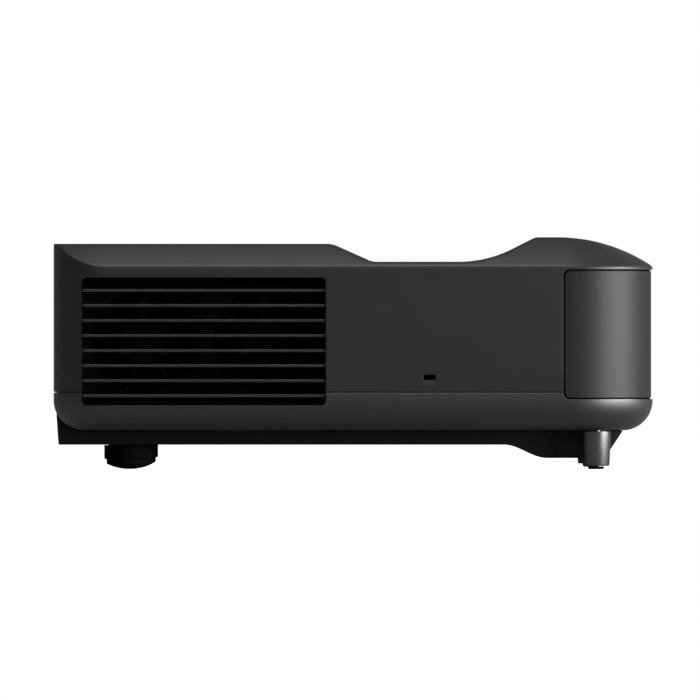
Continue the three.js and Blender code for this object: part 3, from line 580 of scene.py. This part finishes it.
VENT_Y = (VENT_LOW.y - 0.3, VENT_HIGH.y + 0.3)
VENT_Z = (VENT_LOW.z - 0.3, VENT_HIGH.z + 0.3)
VENT_RADIUS = 3.2
GRILLE_SIDE_Y = GRILLE_HIGH.y + 0.8
CREASE_ROUND = 1.0
SLOT_Y, SLOT_Z = -50.8, 61.3
SLOT_WIDTH, SLOT_HEIGHT, SLOT_CORNER, SLOT_DEPTH = 8, 3.5, 0.9, 8
BUTTON_HOLE, BUTTON_HOLE_DEPTH = 6.4, 10


def vent_cutter(side):
    outline = rounded_rect(*VENT_Y, *VENT_Z, VENT_RADIUS)
    return prism("vent_cutter", outline, "x", side * (HALF_WIDTH + 3), side * (HALF_WIDTH - 12), None)


def grille_cutter():
    margin = 1.1
    outline = rounded_rect(-2 * HALF_DEPTH, GRILLE_SIDE_Y + margin, GRILLE_LOW.z - margin, GRILLE_HIGH.z + margin, 4)
    return prism("grille_cutter", outline, "x", -HALF_WIDTH - 3, HALF_WIDTH + 3, None)


def box_cutter(node, margin, axis, start, end, radius):
    """A cutter along an axis, a margin wider than a node's box."""
    low, high = box_mm(node)
    u0, u1, v0, v1 = {"x": (low.y, high.y, low.z, high.z), "y": (low.x, high.x, low.z, high.z),
                      "z": (low.x, high.x, low.y, high.y)}[axis]
    outline = rounded_rect(u0 - margin, u1 + margin, v0 - margin, v1 + margin, radius + margin)
    return prism(node + "_cutter", outline, axis, start, end, None)


def build_upper_case():
    """The top moulding as two skins, with its openings cut through the wall."""
    bottom = UPPER_LOW.z

    def crown(inset):
        """Height of the top, rounded over at the crease."""
        t = 1 - min(1.0, inset / CREASE_ROUND)
        sink = CREASE_ROUND * (1 - math.sqrt(1 - t * t))
        return lambda x, y: top_height(x, y) - sink

    insets = [0, 0.08, 0.22, 0.42, 0.68, 1.0, 1.6, 2.6] + [3.6 + 1.1 * i for i in range(25)]
    wall_levels = [(EDGE_ROUND, lambda x, y: bottom), (0.0, lambda x, y: bottom + EDGE_ROUND)]
    wall_levels += [(0.0, lambda x, y, z=z: z) for z in (70, 95, 120, CREASE_Z - 2.4)]
    outer = skin(wall_levels + [(d, crown(d)) for d in insets], top_height)
    lowered = [(WALL, lambda x, y: bottom), (WALL, lambda x, y: CREASE_Z - 6)]
    lowered += [(WALL + d, lambda x, y: top_height(x, y) - WALL) for d in (1, 4, 10, 16, 20, 24, 29)]
    inner = skin(lowered, lambda x, y: top_height(x, y) - WALL)
    case = shell("upper_case_shell", outer, inner)
    slot_outline = rounded_rect(SLOT_Y - SLOT_WIDTH / 2, SLOT_Y + SLOT_WIDTH / 2,
                                SLOT_Z - SLOT_HEIGHT / 2, SLOT_Z + SLOT_HEIGHT / 2, SLOT_CORNER)
    slot = prism("slot_cutter", slot_outline, "x", -HALF_WIDTH - 1, -HALF_WIDTH + SLOT_DEPTH, None)
    buttons = []
    for node in ("power_button", "input_button"):
        centre = middle_mm(node)
        long = BUTTON_HOLE_DEPTH + 4
        buttons.append(lathe(node + "_cutter", [(0, 0), (BUTTON_HOLE, 0), (BUTTON_HOLE, long), (0, long)],
                             (HALF_WIDTH - BUTTON_HOLE_DEPTH, centre.y, centre.z), "x", 48, None))
    carve(case, vent_cutter(-1), vent_cutter(1), grille_cutter(), slot, *buttons,
          box_cutter("window_bezel", 0.3, "z", VALLEY_Z - 10, VALLEY_Z + 10, 5.7),
          box_cutter("status_lamp", 0.3, "x", HALF_WIDTH - 9, HALF_WIDTH + 2, 0.5),
          box_cutter("socket_panel", 0.3, "y", HALF_DEPTH - 8, HALF_DEPTH + 2, 1.7),
          box_cutter("mains_inlet", 0.3, "y", HALF_DEPTH - 8, HALF_DEPTH + 2, 2))
    soften(case, 0.3)
    wear(case, case_black)
    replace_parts(case, "upper_case")


# ---------------------------------------------------------------- lower case and base pan

SEAM_STEP, SEAM_INSET = 0.28, 0.5
FOOT_BORE = 4.3
PAN_DEPTH = 9.6
PAN_GAP = 0.3
BOSS_CHAMFER = 12
BOSS_END_Y = -129
BOSS_RAMP = 28
SCREW_HEAD, SCREW_SHANK = 4, 2


def build_lower_case():
    """The tray below the parting line, with a quarter-round lower edge and a tongue inside the upper case."""
    top = LOWER_HIGH.z
    floor = LOWER_LOW.z
    steps = 14

    def fillet(shrink):
        levels = []
        for i in range(steps + 1):
            angle = math.pi / 2 * i / steps
            radius = FILLET - shrink
            inset = FILLET - radius * math.cos(angle)
            z = floor + FILLET - radius * math.sin(angle)
            levels.append((inset, lambda x, y, z=z: z))
        return levels

    step = top + SEAM_STEP
    rim = [(SEAM_INSET, lambda x, y: step), (SEAM_INSET, lambda x, y: top),
           (EDGE_ROUND, lambda x, y: top), (0.0, lambda x, y: top - EDGE_ROUND)]
    outer = skin(rim + fillet(0) + [(FILLET + 9, lambda x, y: floor)], lambda x, y: floor)
    tongue_out, tongue_in = WALL + 0.15, WALL + 1.5
    inner_top = [(tongue_out, lambda x, y: step), (tongue_out, lambda x, y: top + 3), (tongue_in, lambda x, y: top + 3)]
    inner = skin(inner_top + fillet(tongue_in) + [(FILLET + 9, lambda x, y: floor + tongue_in)],
                 lambda x, y: floor + tongue_in)
    case = shell("lower_case_shell", inner, outer)
    foot_bores = []
    for word in ("left", "right"):
        centre = middle_mm("front_foot_barrel_" + word)
        foot_bores.append(lathe("bore", [(0, 0), (FOOT_BORE, 0), (FOOT_BORE, 20), (0, 20)],
                                (centre.x, centre.y, floor - 5), "z", 32, None))
    notches = [prism("notch", outline, "x", start, end, None) for outline, start, end in (
        ([(192.0, 33.5), (191.4, 32.6), (185.5, 27.5), (186.2, 28.5)], -225, -203),
        ([(178.5, 28.9), (175.8, 27.8), (169.8, 26.9), (174.5, 29.1)], -235, -213))]
    carve(case, vent_cutter(-1), vent_cutter(1), grille_cutter(), *foot_bores, *notches)
    soften(case, 0.3)
    wear(case, low_black)
    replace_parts(case, "lower_case")


def build_base_pan():
    """The bottom cover: flat, with a boss in front that ramps down to the feet, and a hollow round the rear edge."""
    floor = LOWER_LOW.z
    bottom = floor - PAN_DEPTH
    boss = PAN_LOW.z
    top = floor - PAN_GAP
    centre_y = HALF_DEPTH - FILLET
    reach = FILLET + PAN_GAP
    rear_angle = math.degrees(math.acos((PAN_HIGH.y - centre_y) / reach))
    outline = [(centre_y, top), (PAN_LOW.y, top), (PAN_LOW.y + BOSS_CHAMFER, boss), (BOSS_END_Y, boss)]
    for i in range(1, 13):
        t = i / 12
        outline.append((BOSS_END_Y + BOSS_RAMP * t, boss + (bottom - boss) * smoothstep(t)))
    outline += [(PAN_HIGH.y - 1.4, bottom)]
    outline += arc(centre_y, floor + FILLET, reach, -rear_angle, -90, 12)[:-1]
    sinks = []
    for number in range(1, 5):
        centre = middle_mm(f"pan_screw_{number}")
        sinks.append(lathe("sink", [(0, 0), (SCREW_HEAD, 0), (SCREW_HEAD, 3.2), (SCREW_SHANK, 3.2),
                                    (SCREW_SHANK, 20), (0, 20)], (centre.x, centre.y, bottom - 1), "z", 32, None))
    pan = prism("base_pan_shell", outline, "x", PAN_LOW.x, PAN_HIGH.x)
    carve(pan, *sinks)
    soften(pan, 0.9, 3, 30)
    wear(pan, pan_black)
    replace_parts(pan, "base_pan")


# ---------------------------------------------------------------- grille

CLOTH_CORNER = 3.5
CLOTH_THICKNESS = 1.2


def build_grille():
    """The cloth panel: a band round the front with round ends, its edges rolled in."""
    inset = HALF_WIDTH - GRILLE_HIGH.x
    right = right_side(inset)
    arc_points = [p for p in right if p[1] < FRONT_RADIUS - HALF_DEPTH - 0.01]
    x_side = HALF_WIDTH - inset
    tail = [(x_side, FRONT_RADIUS - HALF_DEPTH)]
    tail += [(x_side, GRILLE_SIDE_Y - d) for d in (0.7, 0.35, 0.12, 0.0)]
    front = [(c * arc_points[0][0], arc_points[0][1]) for c in COLUMNS[1:-1]]
    path = [(-x, y) for x, y in reversed(arc_points + tail)] + front + arc_points + tail
    bottom, top = GRILLE_LOW.z, GRILLE_HIGH.z
    rows = [0, 0.15, 0.4, 0.8, 1.6, 3.2] + [6 + 4 * i for i in range(1, 18)]
    height = top - bottom
    levels = [bottom + r for r in rows] + [top - r for r in reversed(rows[:6])]
    verts, faces, uvs = [], [], []
    run = 0.0
    for i, (x, y) in enumerate(path):
        if i:
            run += math.dist(path[i - 1], path[i])
        end = min(abs(y - GRILLE_SIDE_Y), CLOTH_CORNER)
        shrink = CLOTH_CORNER - math.sqrt(max(0.0, CLOTH_CORNER ** 2 - (CLOTH_CORNER - end) ** 2))
        for z in levels:
            share = (z - bottom) / height
            verts.append((x, y, bottom + shrink + (height - 2 * shrink) * share))
            uvs.append((run * MM, z * MM))
    n = len(levels)
    for i in range(len(path) - 1):
        for k in range(n - 1):
            faces.append((i * n + k, (i + 1) * n + k, (i + 1) * n + k + 1, i * n + k + 1))
    panel = make("grille_panel", verts, faces)
    layer = panel.data.uv_layers.new(name="cloth")
    for loop in panel.data.loops:
        layer.data[loop.index].uv = uvs[loop.vertex_index]
    thick = panel.modifiers.new("thick", "SOLIDIFY")
    thick.thickness = CLOTH_THICKNESS * MM
    thick.offset = -1
    settle(panel)
    soften(panel, 0.45, 3, 50)
    wear(panel, grille_weave)
    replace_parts(panel, "grille_cloth")


# ---------------------------------------------------------------- louvres

LOUVRES = 8
LOUVRE_PITCH = 10.03
LOUVRE_TOP_Z = 119.2


def blade_outline(depth, z):
    """Section of one louvre in (x, z): a flat nose with round corners, and a tapering tail."""
    half, corner = 0.95, 0.3
    nose = arc(-corner, z - half + corner, corner, 270, 360, 3) + arc(-corner, z + half - corner, corner, 0, 90, 3)
    return nose + [(-depth + 1.2, z + 0.6), (-depth, z + 0.2), (-depth, z - 0.35), (-depth + 1.2, z - 0.8)]


def louvre_set(name, node, side, outer_x, sunk, depth, body):
    """A black surround with round corners, sunk by a depth, and its louvres, on one side of the case."""
    low, high = box_mm(node)
    rim = 1.1
    corner = VENT_RADIUS - 0.3
    outer = rounded_rect(low.y, high.y, low.z, high.z, corner)
    inner = rounded_rect(low.y + rim, high.y - rim, low.z + rim, high.z - rim, corner - rim)
    pieces = [prism(name, outer, "x", side * (outer_x - sunk), side * (outer_x - depth), body, [inner])]
    for i in range(LOUVRES):
        z = LOUVRE_TOP_Z - LOUVRE_PITCH * i
        outline = [(side * (outer_x - 0.8 + u), v) for u, v in blade_outline(depth - 1, z)]
        blade = prism("blade", outline, "y", low.y + 0.4, high.y - 0.4, None)
        fix_normals(blade)
        shade(blade)
        pieces.append(blade)
    return pieces


def use_second_material(obj):
    obj.data.materials.append(None)
    obj.data.materials.append(None)
    for polygon in obj.data.polygons:
        polygon.material_index = 1


def dress_louvres(surround, *parts):
    """One piece of a surround in near-black painted shade, with its blades and other parts in the case's plastic."""
    soften(surround, 0.25)
    for part in parts:
        use_second_material(part)
    panel = merge(surround, *parts)
    # The surround's near-black is painted shade inside the vent.
    panel.data.materials.append(painted_shade_black)
    panel.data.materials.append(case_black)
    return panel


def build_louvres():
    surround, *blades = louvre_set("exhaust_louvre_panel", "exhaust_louvres", -1,
                                   HALF_WIDTH - 0.4, 3.0, 8.6, "root")
    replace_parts(dress_louvres(surround, *blades), "exhaust_louvres")


def build_filter_cover():
    """Louvres in a frame that turns on a round knuckle along its lower edge."""
    low, high = box_mm("filter_cover")
    knuckle, rail, depth = 2.4, 2.5, 5.4
    hinge_x, hinge_z = HALF_WIDTH - knuckle, low.z + knuckle
    outer_x = HALF_WIDTH - 0.4
    surround, *blades = louvre_set("filter_cover_panel", "filter_cover", 1, outer_x, 0, depth, "filter_door")
    below = rounded_rect(low.y - 2, high.y + 2, low.z - 2, hinge_z, 0.5)
    carve(surround, prism("below", below, "x", HALF_WIDTH - 12, HALF_WIDTH + 2, None))
    web = prism("web", rounded_rect(low.y, high.y, hinge_z, hinge_z + rail, 0.5),
                "x", outer_x, HALF_WIDTH - depth, None)
    bar = prism("bar", arc(hinge_x, hinge_z, knuckle, 0, 360, 24)[:-1],
                "y", low.y + VENT_RADIUS, high.y - VENT_RADIUS, None)
    middle = (low.y + high.y) / 2
    latch = prism("latch", rounded_rect(middle - 9, middle + 9, high.z - 8, high.z - 0.8, 1.5),
                  "x", HALF_WIDTH - 0.5, HALF_WIDTH - 5.6, None)
    for piece in (web, bar):
        fix_normals(piece)
        shade(piece)
    soften(latch, 0.4)
    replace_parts(dress_louvres(surround, *blades, web, bar, latch), "filter_cover")


# ---------------------------------------------------------------- ducts and baffles that keep light out, in painted-shade black

def build_exhaust_duct():
    """A duct from the louvres to the fans in near-black painted shade, with a plate that has a bore for each fan."""
    margin, rim = 1.6, 5.5
    mouth = HALF_WIDTH - 9.2
    plate = HALF_WIDTH - 16
    back = plate - 1.2
    outer = rounded_rect(VENT_Y[0] - margin, VENT_Y[1] + margin, VENT_Z[0] - margin, VENT_Z[1] + margin, 3)
    inner = rounded_rect(*VENT_Y, *VENT_Z, 2)
    duct = prism("exhaust_duct", outer, "x", -mouth, -back)
    bores = [prism("throat", inner, "x", -mouth - 1, -plate, None)]
    for node in ("exhaust_fan_rear_housing", "exhaust_fan_front_housing"):
        low, high = box_mm(node)
        centre = (low + high) / 2
        radius = (high.z - low.z) / 2 - rim
        bores.append(lathe("bore", [(0, 0), (radius, 0), (radius, 20), (0, 20)],
                           (-mouth - 2, centre.y, centre.z), "x", 64, None))
    carve(duct, *bores)
    soften(duct, 0.3)
    wear(duct, painted_shade_black)


def grille_band(name, inset, thickness, overlap):
    """A near-black band of painted shade that follows the grille at a distance inside the wall, and reaches past it by
    the overlap.
    """
    low_z, high_z = GRILLE_LOW.z - overlap, GRILLE_HIGH.z + overlap
    verts, faces, paths = [], [], []
    for distance in (inset, inset + thickness):
        right = [p for p in right_side(distance) if p[1] < FRONT_RADIUS - HALF_DEPTH - 0.01]
        right += [(HALF_WIDTH - distance, FRONT_RADIUS - HALF_DEPTH), (HALF_WIDTH - distance, GRILLE_SIDE_Y + overlap)]
        paths.append([(-x, y) for x, y in reversed(right)] + right)
    n = len(paths[0])
    for path in paths:
        for z in (low_z, high_z):
            verts += [(x, y, z) for x, y in path]
    rows = [0, n, 3 * n, 2 * n]
    for k, row in enumerate(rows):
        following = rows[(k + 1) % 4]
        faces += [(row + i, row + i + 1, following + i + 1, following + i) for i in range(n - 1)]
    faces += [tuple(rows), tuple(r + n - 1 for r in reversed(rows))]
    band = make(name, verts, faces)
    fix_normals(band)
    soften(band, 0.2)
    wear(band, painted_shade_black)


def build_grille_bands():
    """A painted-shade band behind the grille frame, and another in the gap round the cloth, so the gap reads dark."""
    grille_band("grille_baffle", 7.0, 1.2, 4)
    grille_band("grille_gap_shade", HALF_WIDTH - GRILLE_HIGH.x + 0.7, 0.7, 0.9)


def build_filter_gap_shade():
    """A near-black ring of painted shade behind the air filter, over the gap round it. The filter swings away from it.
    """
    low, high = box_mm("air_filter")
    lap, reach, thickness = 5, 4, 0.8
    outer = rounded_rect(low.y - lap, high.y + lap, low.z - lap, high.z + lap, 3)
    inner = rounded_rect(low.y + reach, high.y - reach, low.z + reach, high.z - reach, 2)
    back = low.x - 0.4
    shade_ring = prism("filter_gap_shade", outer, "x", back - thickness, back, "root", [inner])
    wear(shade_ring, painted_shade_black)


def build_sink_liner():
    """A near-black plate of painted shade behind the heat sink, so that nothing bright shows between its fins."""
    low, high = box_mm("heat_sink")
    outline = rounded_rect(low.y - 2, high.y + 2, low.z, high.z + 6, 2)
    liner = prism("sink_liner", outline, "x", high.x + 0.4, high.x + 1.4)
    soften(liner, 0.2)
    wear(liner, painted_shade_black)


# ---------------------------------------------------------------- window

def build_window():
    """The glossy bezel with a seat for the pane, and the coated pane in it."""
    low, high = box_mm("window_bezel")
    lip, ledge = 9, 4
    seat_lip = lip - ledge
    top = high.z
    outer = rounded_rect(low.x, high.x, low.y, high.y, 5.7, 10)
    inner = rounded_rect(low.x + lip, high.x - lip, low.y + lip, high.y - lip, 3, 8)
    seat = prism("seat", rounded_rect(low.x + seat_lip, high.x - seat_lip, low.y + seat_lip, high.y - seat_lip, 3, 8),
                 "z", top - 2.0, top + 2, None)
    bezel = prism("window_bezel_trim", outer, "z", low.z, top, "root", [inner])
    carve(bezel, seat)
    soften(bezel, 0.5, 3)
    wear(bezel, gloss_black)
    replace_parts(bezel, "window_bezel")
    glass_low, glass_high = box_mm("window_glass")
    pane = prism("window_pane", rounded_rect(glass_low.x, glass_high.x, glass_low.y, glass_high.y, 2.7, 8),
                 "z", glass_low.z, glass_high.z)
    soften(pane, 0.3)
    wear(pane, window_glass)
    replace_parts(pane, "window_glass")


# ---------------------------------------------------------------- feet

def build_feet():
    for word in ("left", "right"):
        low, high = box_mm("rear_foot_" + word)
        centre = ((low.x + high.x) / 2, (low.y + high.y) / 2, low.z)
        radius = (high.x - low.x) / 2
        step = radius - 1.7
        sagitta = 3.4
        ball = (step ** 2 + sagitta ** 2) / (2 * sagitta)
        dome = [(step * i / 10, ball - math.sqrt(ball ** 2 - (step * i / 10) ** 2)) for i in range(11)]
        foot = lathe("rear_foot_rubber_" + word, dome + [(step + 0.15, sagitta + 0.3), (step + 0.15, 6.4),
                     (radius - 0.4, 6.8), (radius, 7.3), (radius, high.z), (0, high.z)], centre)
        shade(foot)
        wear(foot, rubber_black)
        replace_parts(foot, "rear_foot_" + word)

        low, high = box_mm("front_foot_barrel_" + word)
        centre = ((low.x + high.x) / 2, (low.y + high.y) / 2, low.z)
        wide = (high.x - low.x) / 2
        narrow = wide - 0.9
        shoulder = LOWER_LOW.z - 0.3 - low.z
        profile = [(0, 0), (narrow - 1.0, 0), (narrow - 0.5, 0.15), (narrow - 0.15, 0.5), (narrow, 1.0),
                   (wide - 0.02, shoulder - 0.5), (wide - 0.3, shoulder), (4.2, shoulder)]
        profile += [(4.2, shoulder - 8), (0, shoulder - 8)]
        barrel = lathe("foot_barrel_metal_" + word, profile, centre, "z", 96, "foot_barrel_" + word)
        shade(barrel, 30)
        wear(barrel, foot_grey)
        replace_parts(barrel, "front_foot_barrel_" + word)

        low, high = box_mm("front_foot_pad_" + word)
        radius = (high.x - low.x) / 2
        centre = ((low.x + high.x) / 2, (low.y + high.y) / 2, low.z)
        pad = lathe("foot_pad_rubber_" + word, [(0, 0.25), (radius - 2, 0.25), (radius - 1.7, 0), (radius - 0.5, 0),
                    (radius - 0.15, 0.15), (radius, 0.5), (radius, high.z), (0, high.z)], centre, "z", 48,
                    "foot_pad_" + word)
        shade(pad)
        wear(pad, rubber_black)
        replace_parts(pad, "front_foot_pad_" + word)


# ---------------------------------------------------------------- CAD nodes that keep their shape

def dress(node, material):
    """Gives a CAD node welded, rounded edges and a material."""
    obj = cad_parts[node]
    custom = obj.data.attributes.get("custom_normal")
    if custom:
        obj.data.attributes.remove(custom)
    weld = obj.modifiers.new("weld", "WELD")
    weld.merge_threshold = 0.002 * MM
    bevel = obj.modifiers.new("round", "BEVEL")
    bevel.width = 0.4 * MM
    bevel.segments = 2
    bevel.limit_method = "ANGLE"
    bevel.angle_limit = math.radians(32)
    bevel.harden_normals = True
    obj.data.shade_smooth()
    obj.data.materials.clear()
    obj.data.materials.append(material)


DRESSING = {
    case_black: ["power_button", "input_button", "socket_panel"],
    # Parts inside the case: their own black is deepened into painted shade, so the inside reads dark through the
    # openings.
    painted_shade_black: ["grille_frame", "mirror_bracket", "lens_barrel", "focus_ring",
                  "exhaust_fan_rear_housing", "exhaust_fan_rear_rotor", "exhaust_fan_front_housing",
                  "exhaust_fan_front_rotor", "intake_fan_housing", "intake_fan_rotor",
                  "speaker_box_left", "speaker_box_right", "heat_sink"],
    pan_black: ["mains_inlet"],
    gloss_black: ["optical_audio_socket", "remote_receiver"],
    cone_black: ["speaker_cone_left", "speaker_cone_right"],
    foam_grey: ["air_filter"],
    board_green: ["control_board", "main_board", "power_board"],
    phosphor_yellow: ["phosphor_wheel"],
    lamp_white: ["status_lamp"],
    steel: ["pan_screw_1", "pan_screw_2", "pan_screw_3", "pan_screw_4", "hdmi_socket_1", "hdmi_socket_2",
            "usb_socket", "chassis_plate", "wheel_motor", "focus_motor",
            "front_foot_stud_left", "front_foot_stud_right"],
    aluminium: ["laser_module", "optical_block"],
    copper: ["heat_pipe"],
    brass: ["front_foot_nut_left", "front_foot_nut_right", "focus_pinion"],
    mirror_silver: ["aspheric_mirror"],
}


# ---------------------------------------------------------------- studio

FLOOR_REACH = 6.0
PAPER_DARK, PAPER_LIGHT = (0.31, 0.31, 0.31), (0.33, 0.33, 0.33)
PAPER_LIFT = 0.98
BACKDROP_LIGHT = 0.21
VIEW_WIDTH = 0.4664
VIEW_CENTRE = (0.0022, 0.07955)


def area_light(name, location, target, size, size_y, power):
    """A white softbox. Places and sizes are metres, and the power is watts."""
    data = bpy.data.lights.new(name, "AREA")
    data.shape = "RECTANGLE"
    data.size = size
    data.size_y = size_y
    data.energy = power
    obj = bpy.data.objects.new(name, data)
    bpy.context.scene.collection.objects.link(obj)
    obj.location = location
    obj.rotation_euler = (Vector(target) - Vector(location)).to_track_quat("-Z", "Y").to_euler()
    return obj


def floor_paper():
    """White paper, clear from below. What the camera sees of it is lifted to the white of the backdrop."""
    paper = node_material("floor_paper", (0.8, 0.8, 0.8), 0.9, 0, 0.1)
    nodes = paper.node_tree.nodes
    mottled = noise(paper, coordinates(paper), 40, 4)
    shader = shader_of(paper)
    link(paper, tint(paper, remap(paper, mottled, 0, 1), PAPER_DARK, PAPER_LIGHT), shader.inputs["Base Color"])
    rays = nodes.new("ShaderNodeLightPath")
    lift = nodes.new("ShaderNodeMath")
    lift.operation = "MULTIPLY"
    lift.inputs[1].default_value = PAPER_LIFT
    link(paper, rays.outputs["Is Camera Ray"], lift.inputs[0])
    shader.inputs["Emission Color"].default_value = (1, 1, 1, 1)
    link(paper, lift.outputs[0], shader.inputs["Emission Strength"])
    clear = nodes.new("ShaderNodeBsdfTransparent")
    side = nodes.new("ShaderNodeNewGeometry")
    sheet = nodes.new("ShaderNodeMixShader")
    link(paper, side.outputs["Backfacing"], sheet.inputs[0])
    link(paper, shader.outputs["BSDF"], sheet.inputs[1])
    link(paper, clear.outputs["BSDF"], sheet.inputs[2])
    link(paper, sheet.outputs["Shader"], nodes["Material Output"].inputs["Surface"])
    return paper


def studio_world():
    """A backdrop that the camera sees as white, and that lights the object only a little."""
    world = bpy.data.worlds.new("studio")
    world.use_nodes = True
    nodes = world.node_tree.nodes
    links = world.node_tree.links
    background = nodes["Background"]
    background.inputs["Color"].default_value = (1, 1, 1, 1)
    rays = nodes.new("ShaderNodeLightPath")
    seen = nodes.new("ShaderNodeMix")
    seen.inputs["A"].default_value = BACKDROP_LIGHT
    seen.inputs["B"].default_value = 1.0
    links.new(rays.outputs["Is Camera Ray"], seen.inputs["Factor"])
    links.new(seen.outputs["Result"], background.inputs["Strength"])
    return world


def build_floor():
    reach = FLOOR_REACH
    floor_mesh = bpy.data.meshes.new("floor")
    floor_mesh.from_pydata([(-reach, -reach, 0), (reach, -reach, 0), (reach, reach, 0), (-reach, reach, 0)], [],
                           [(0, 1, 2, 3)])
    floor = bpy.data.objects.new("floor", floor_mesh)
    bpy.context.scene.collection.objects.link(floor)
    floor_mesh.materials.append(floor_paper())


def build_lights():
    """Softboxes round the front corner, over the top and at the side, and two narrow washes on the floor."""
    aim = (-0.1, -0.1, 0.08)
    area_light("front_softbox", (-0.5, -2.3, 0.5), aim, 0.9, 0.9, 90)
    area_light("corner_softbox", (-1.3, -1.9, 0.3), aim, 0.7, 0.6, 52)
    area_light("top_softbox", (-0.85, 0.1, 2.1), (-0.1, 0, 0.1), 0.8, 1.6, 27)
    area_light("side_fill", (-2.4, -0.3, 1.0), aim, 1.5, 0.8, 6)
    for name, y, power in (("rear_wash", 0.5, 0.5), ("front_wash", -0.7, 8)):
        wash = area_light(name, (-0.3, y + math.copysign(0.05, y), 0.5), (-0.3, y, 0.0), 0.3, 0.3, power)
        wash.data.spread = math.radians(60)


def build_camera():
    """A long lens square to the left side."""
    camera_data = bpy.data.cameras.new("camera")
    camera_data.lens = 1500
    camera_data.sensor_width = 36
    camera = bpy.data.objects.new("camera", camera_data)
    bpy.context.scene.collection.objects.link(camera)
    distance = VIEW_WIDTH * camera_data.lens / camera_data.sensor_width
    camera.location = (-HALF_WIDTH * MM - distance, *VIEW_CENTRE)
    camera.rotation_euler = (math.radians(90), 0, math.radians(-90))
    camera_data.clip_end = distance + 10
    bpy.context.scene.camera = camera
    bpy.context.scene.view_settings.view_transform = "Standard"


build_upper_case()
build_lower_case()
build_base_pan()
build_grille()
build_louvres()
build_filter_cover()
build_exhaust_duct()
build_grille_bands()
build_filter_gap_shade()
build_sink_liner()
build_window()
build_feet()
for material, nodes in DRESSING.items():
    for node in nodes:
        dress(node, material)
build_floor()
bpy.context.scene.world = studio_world()
build_lights()
build_camera()
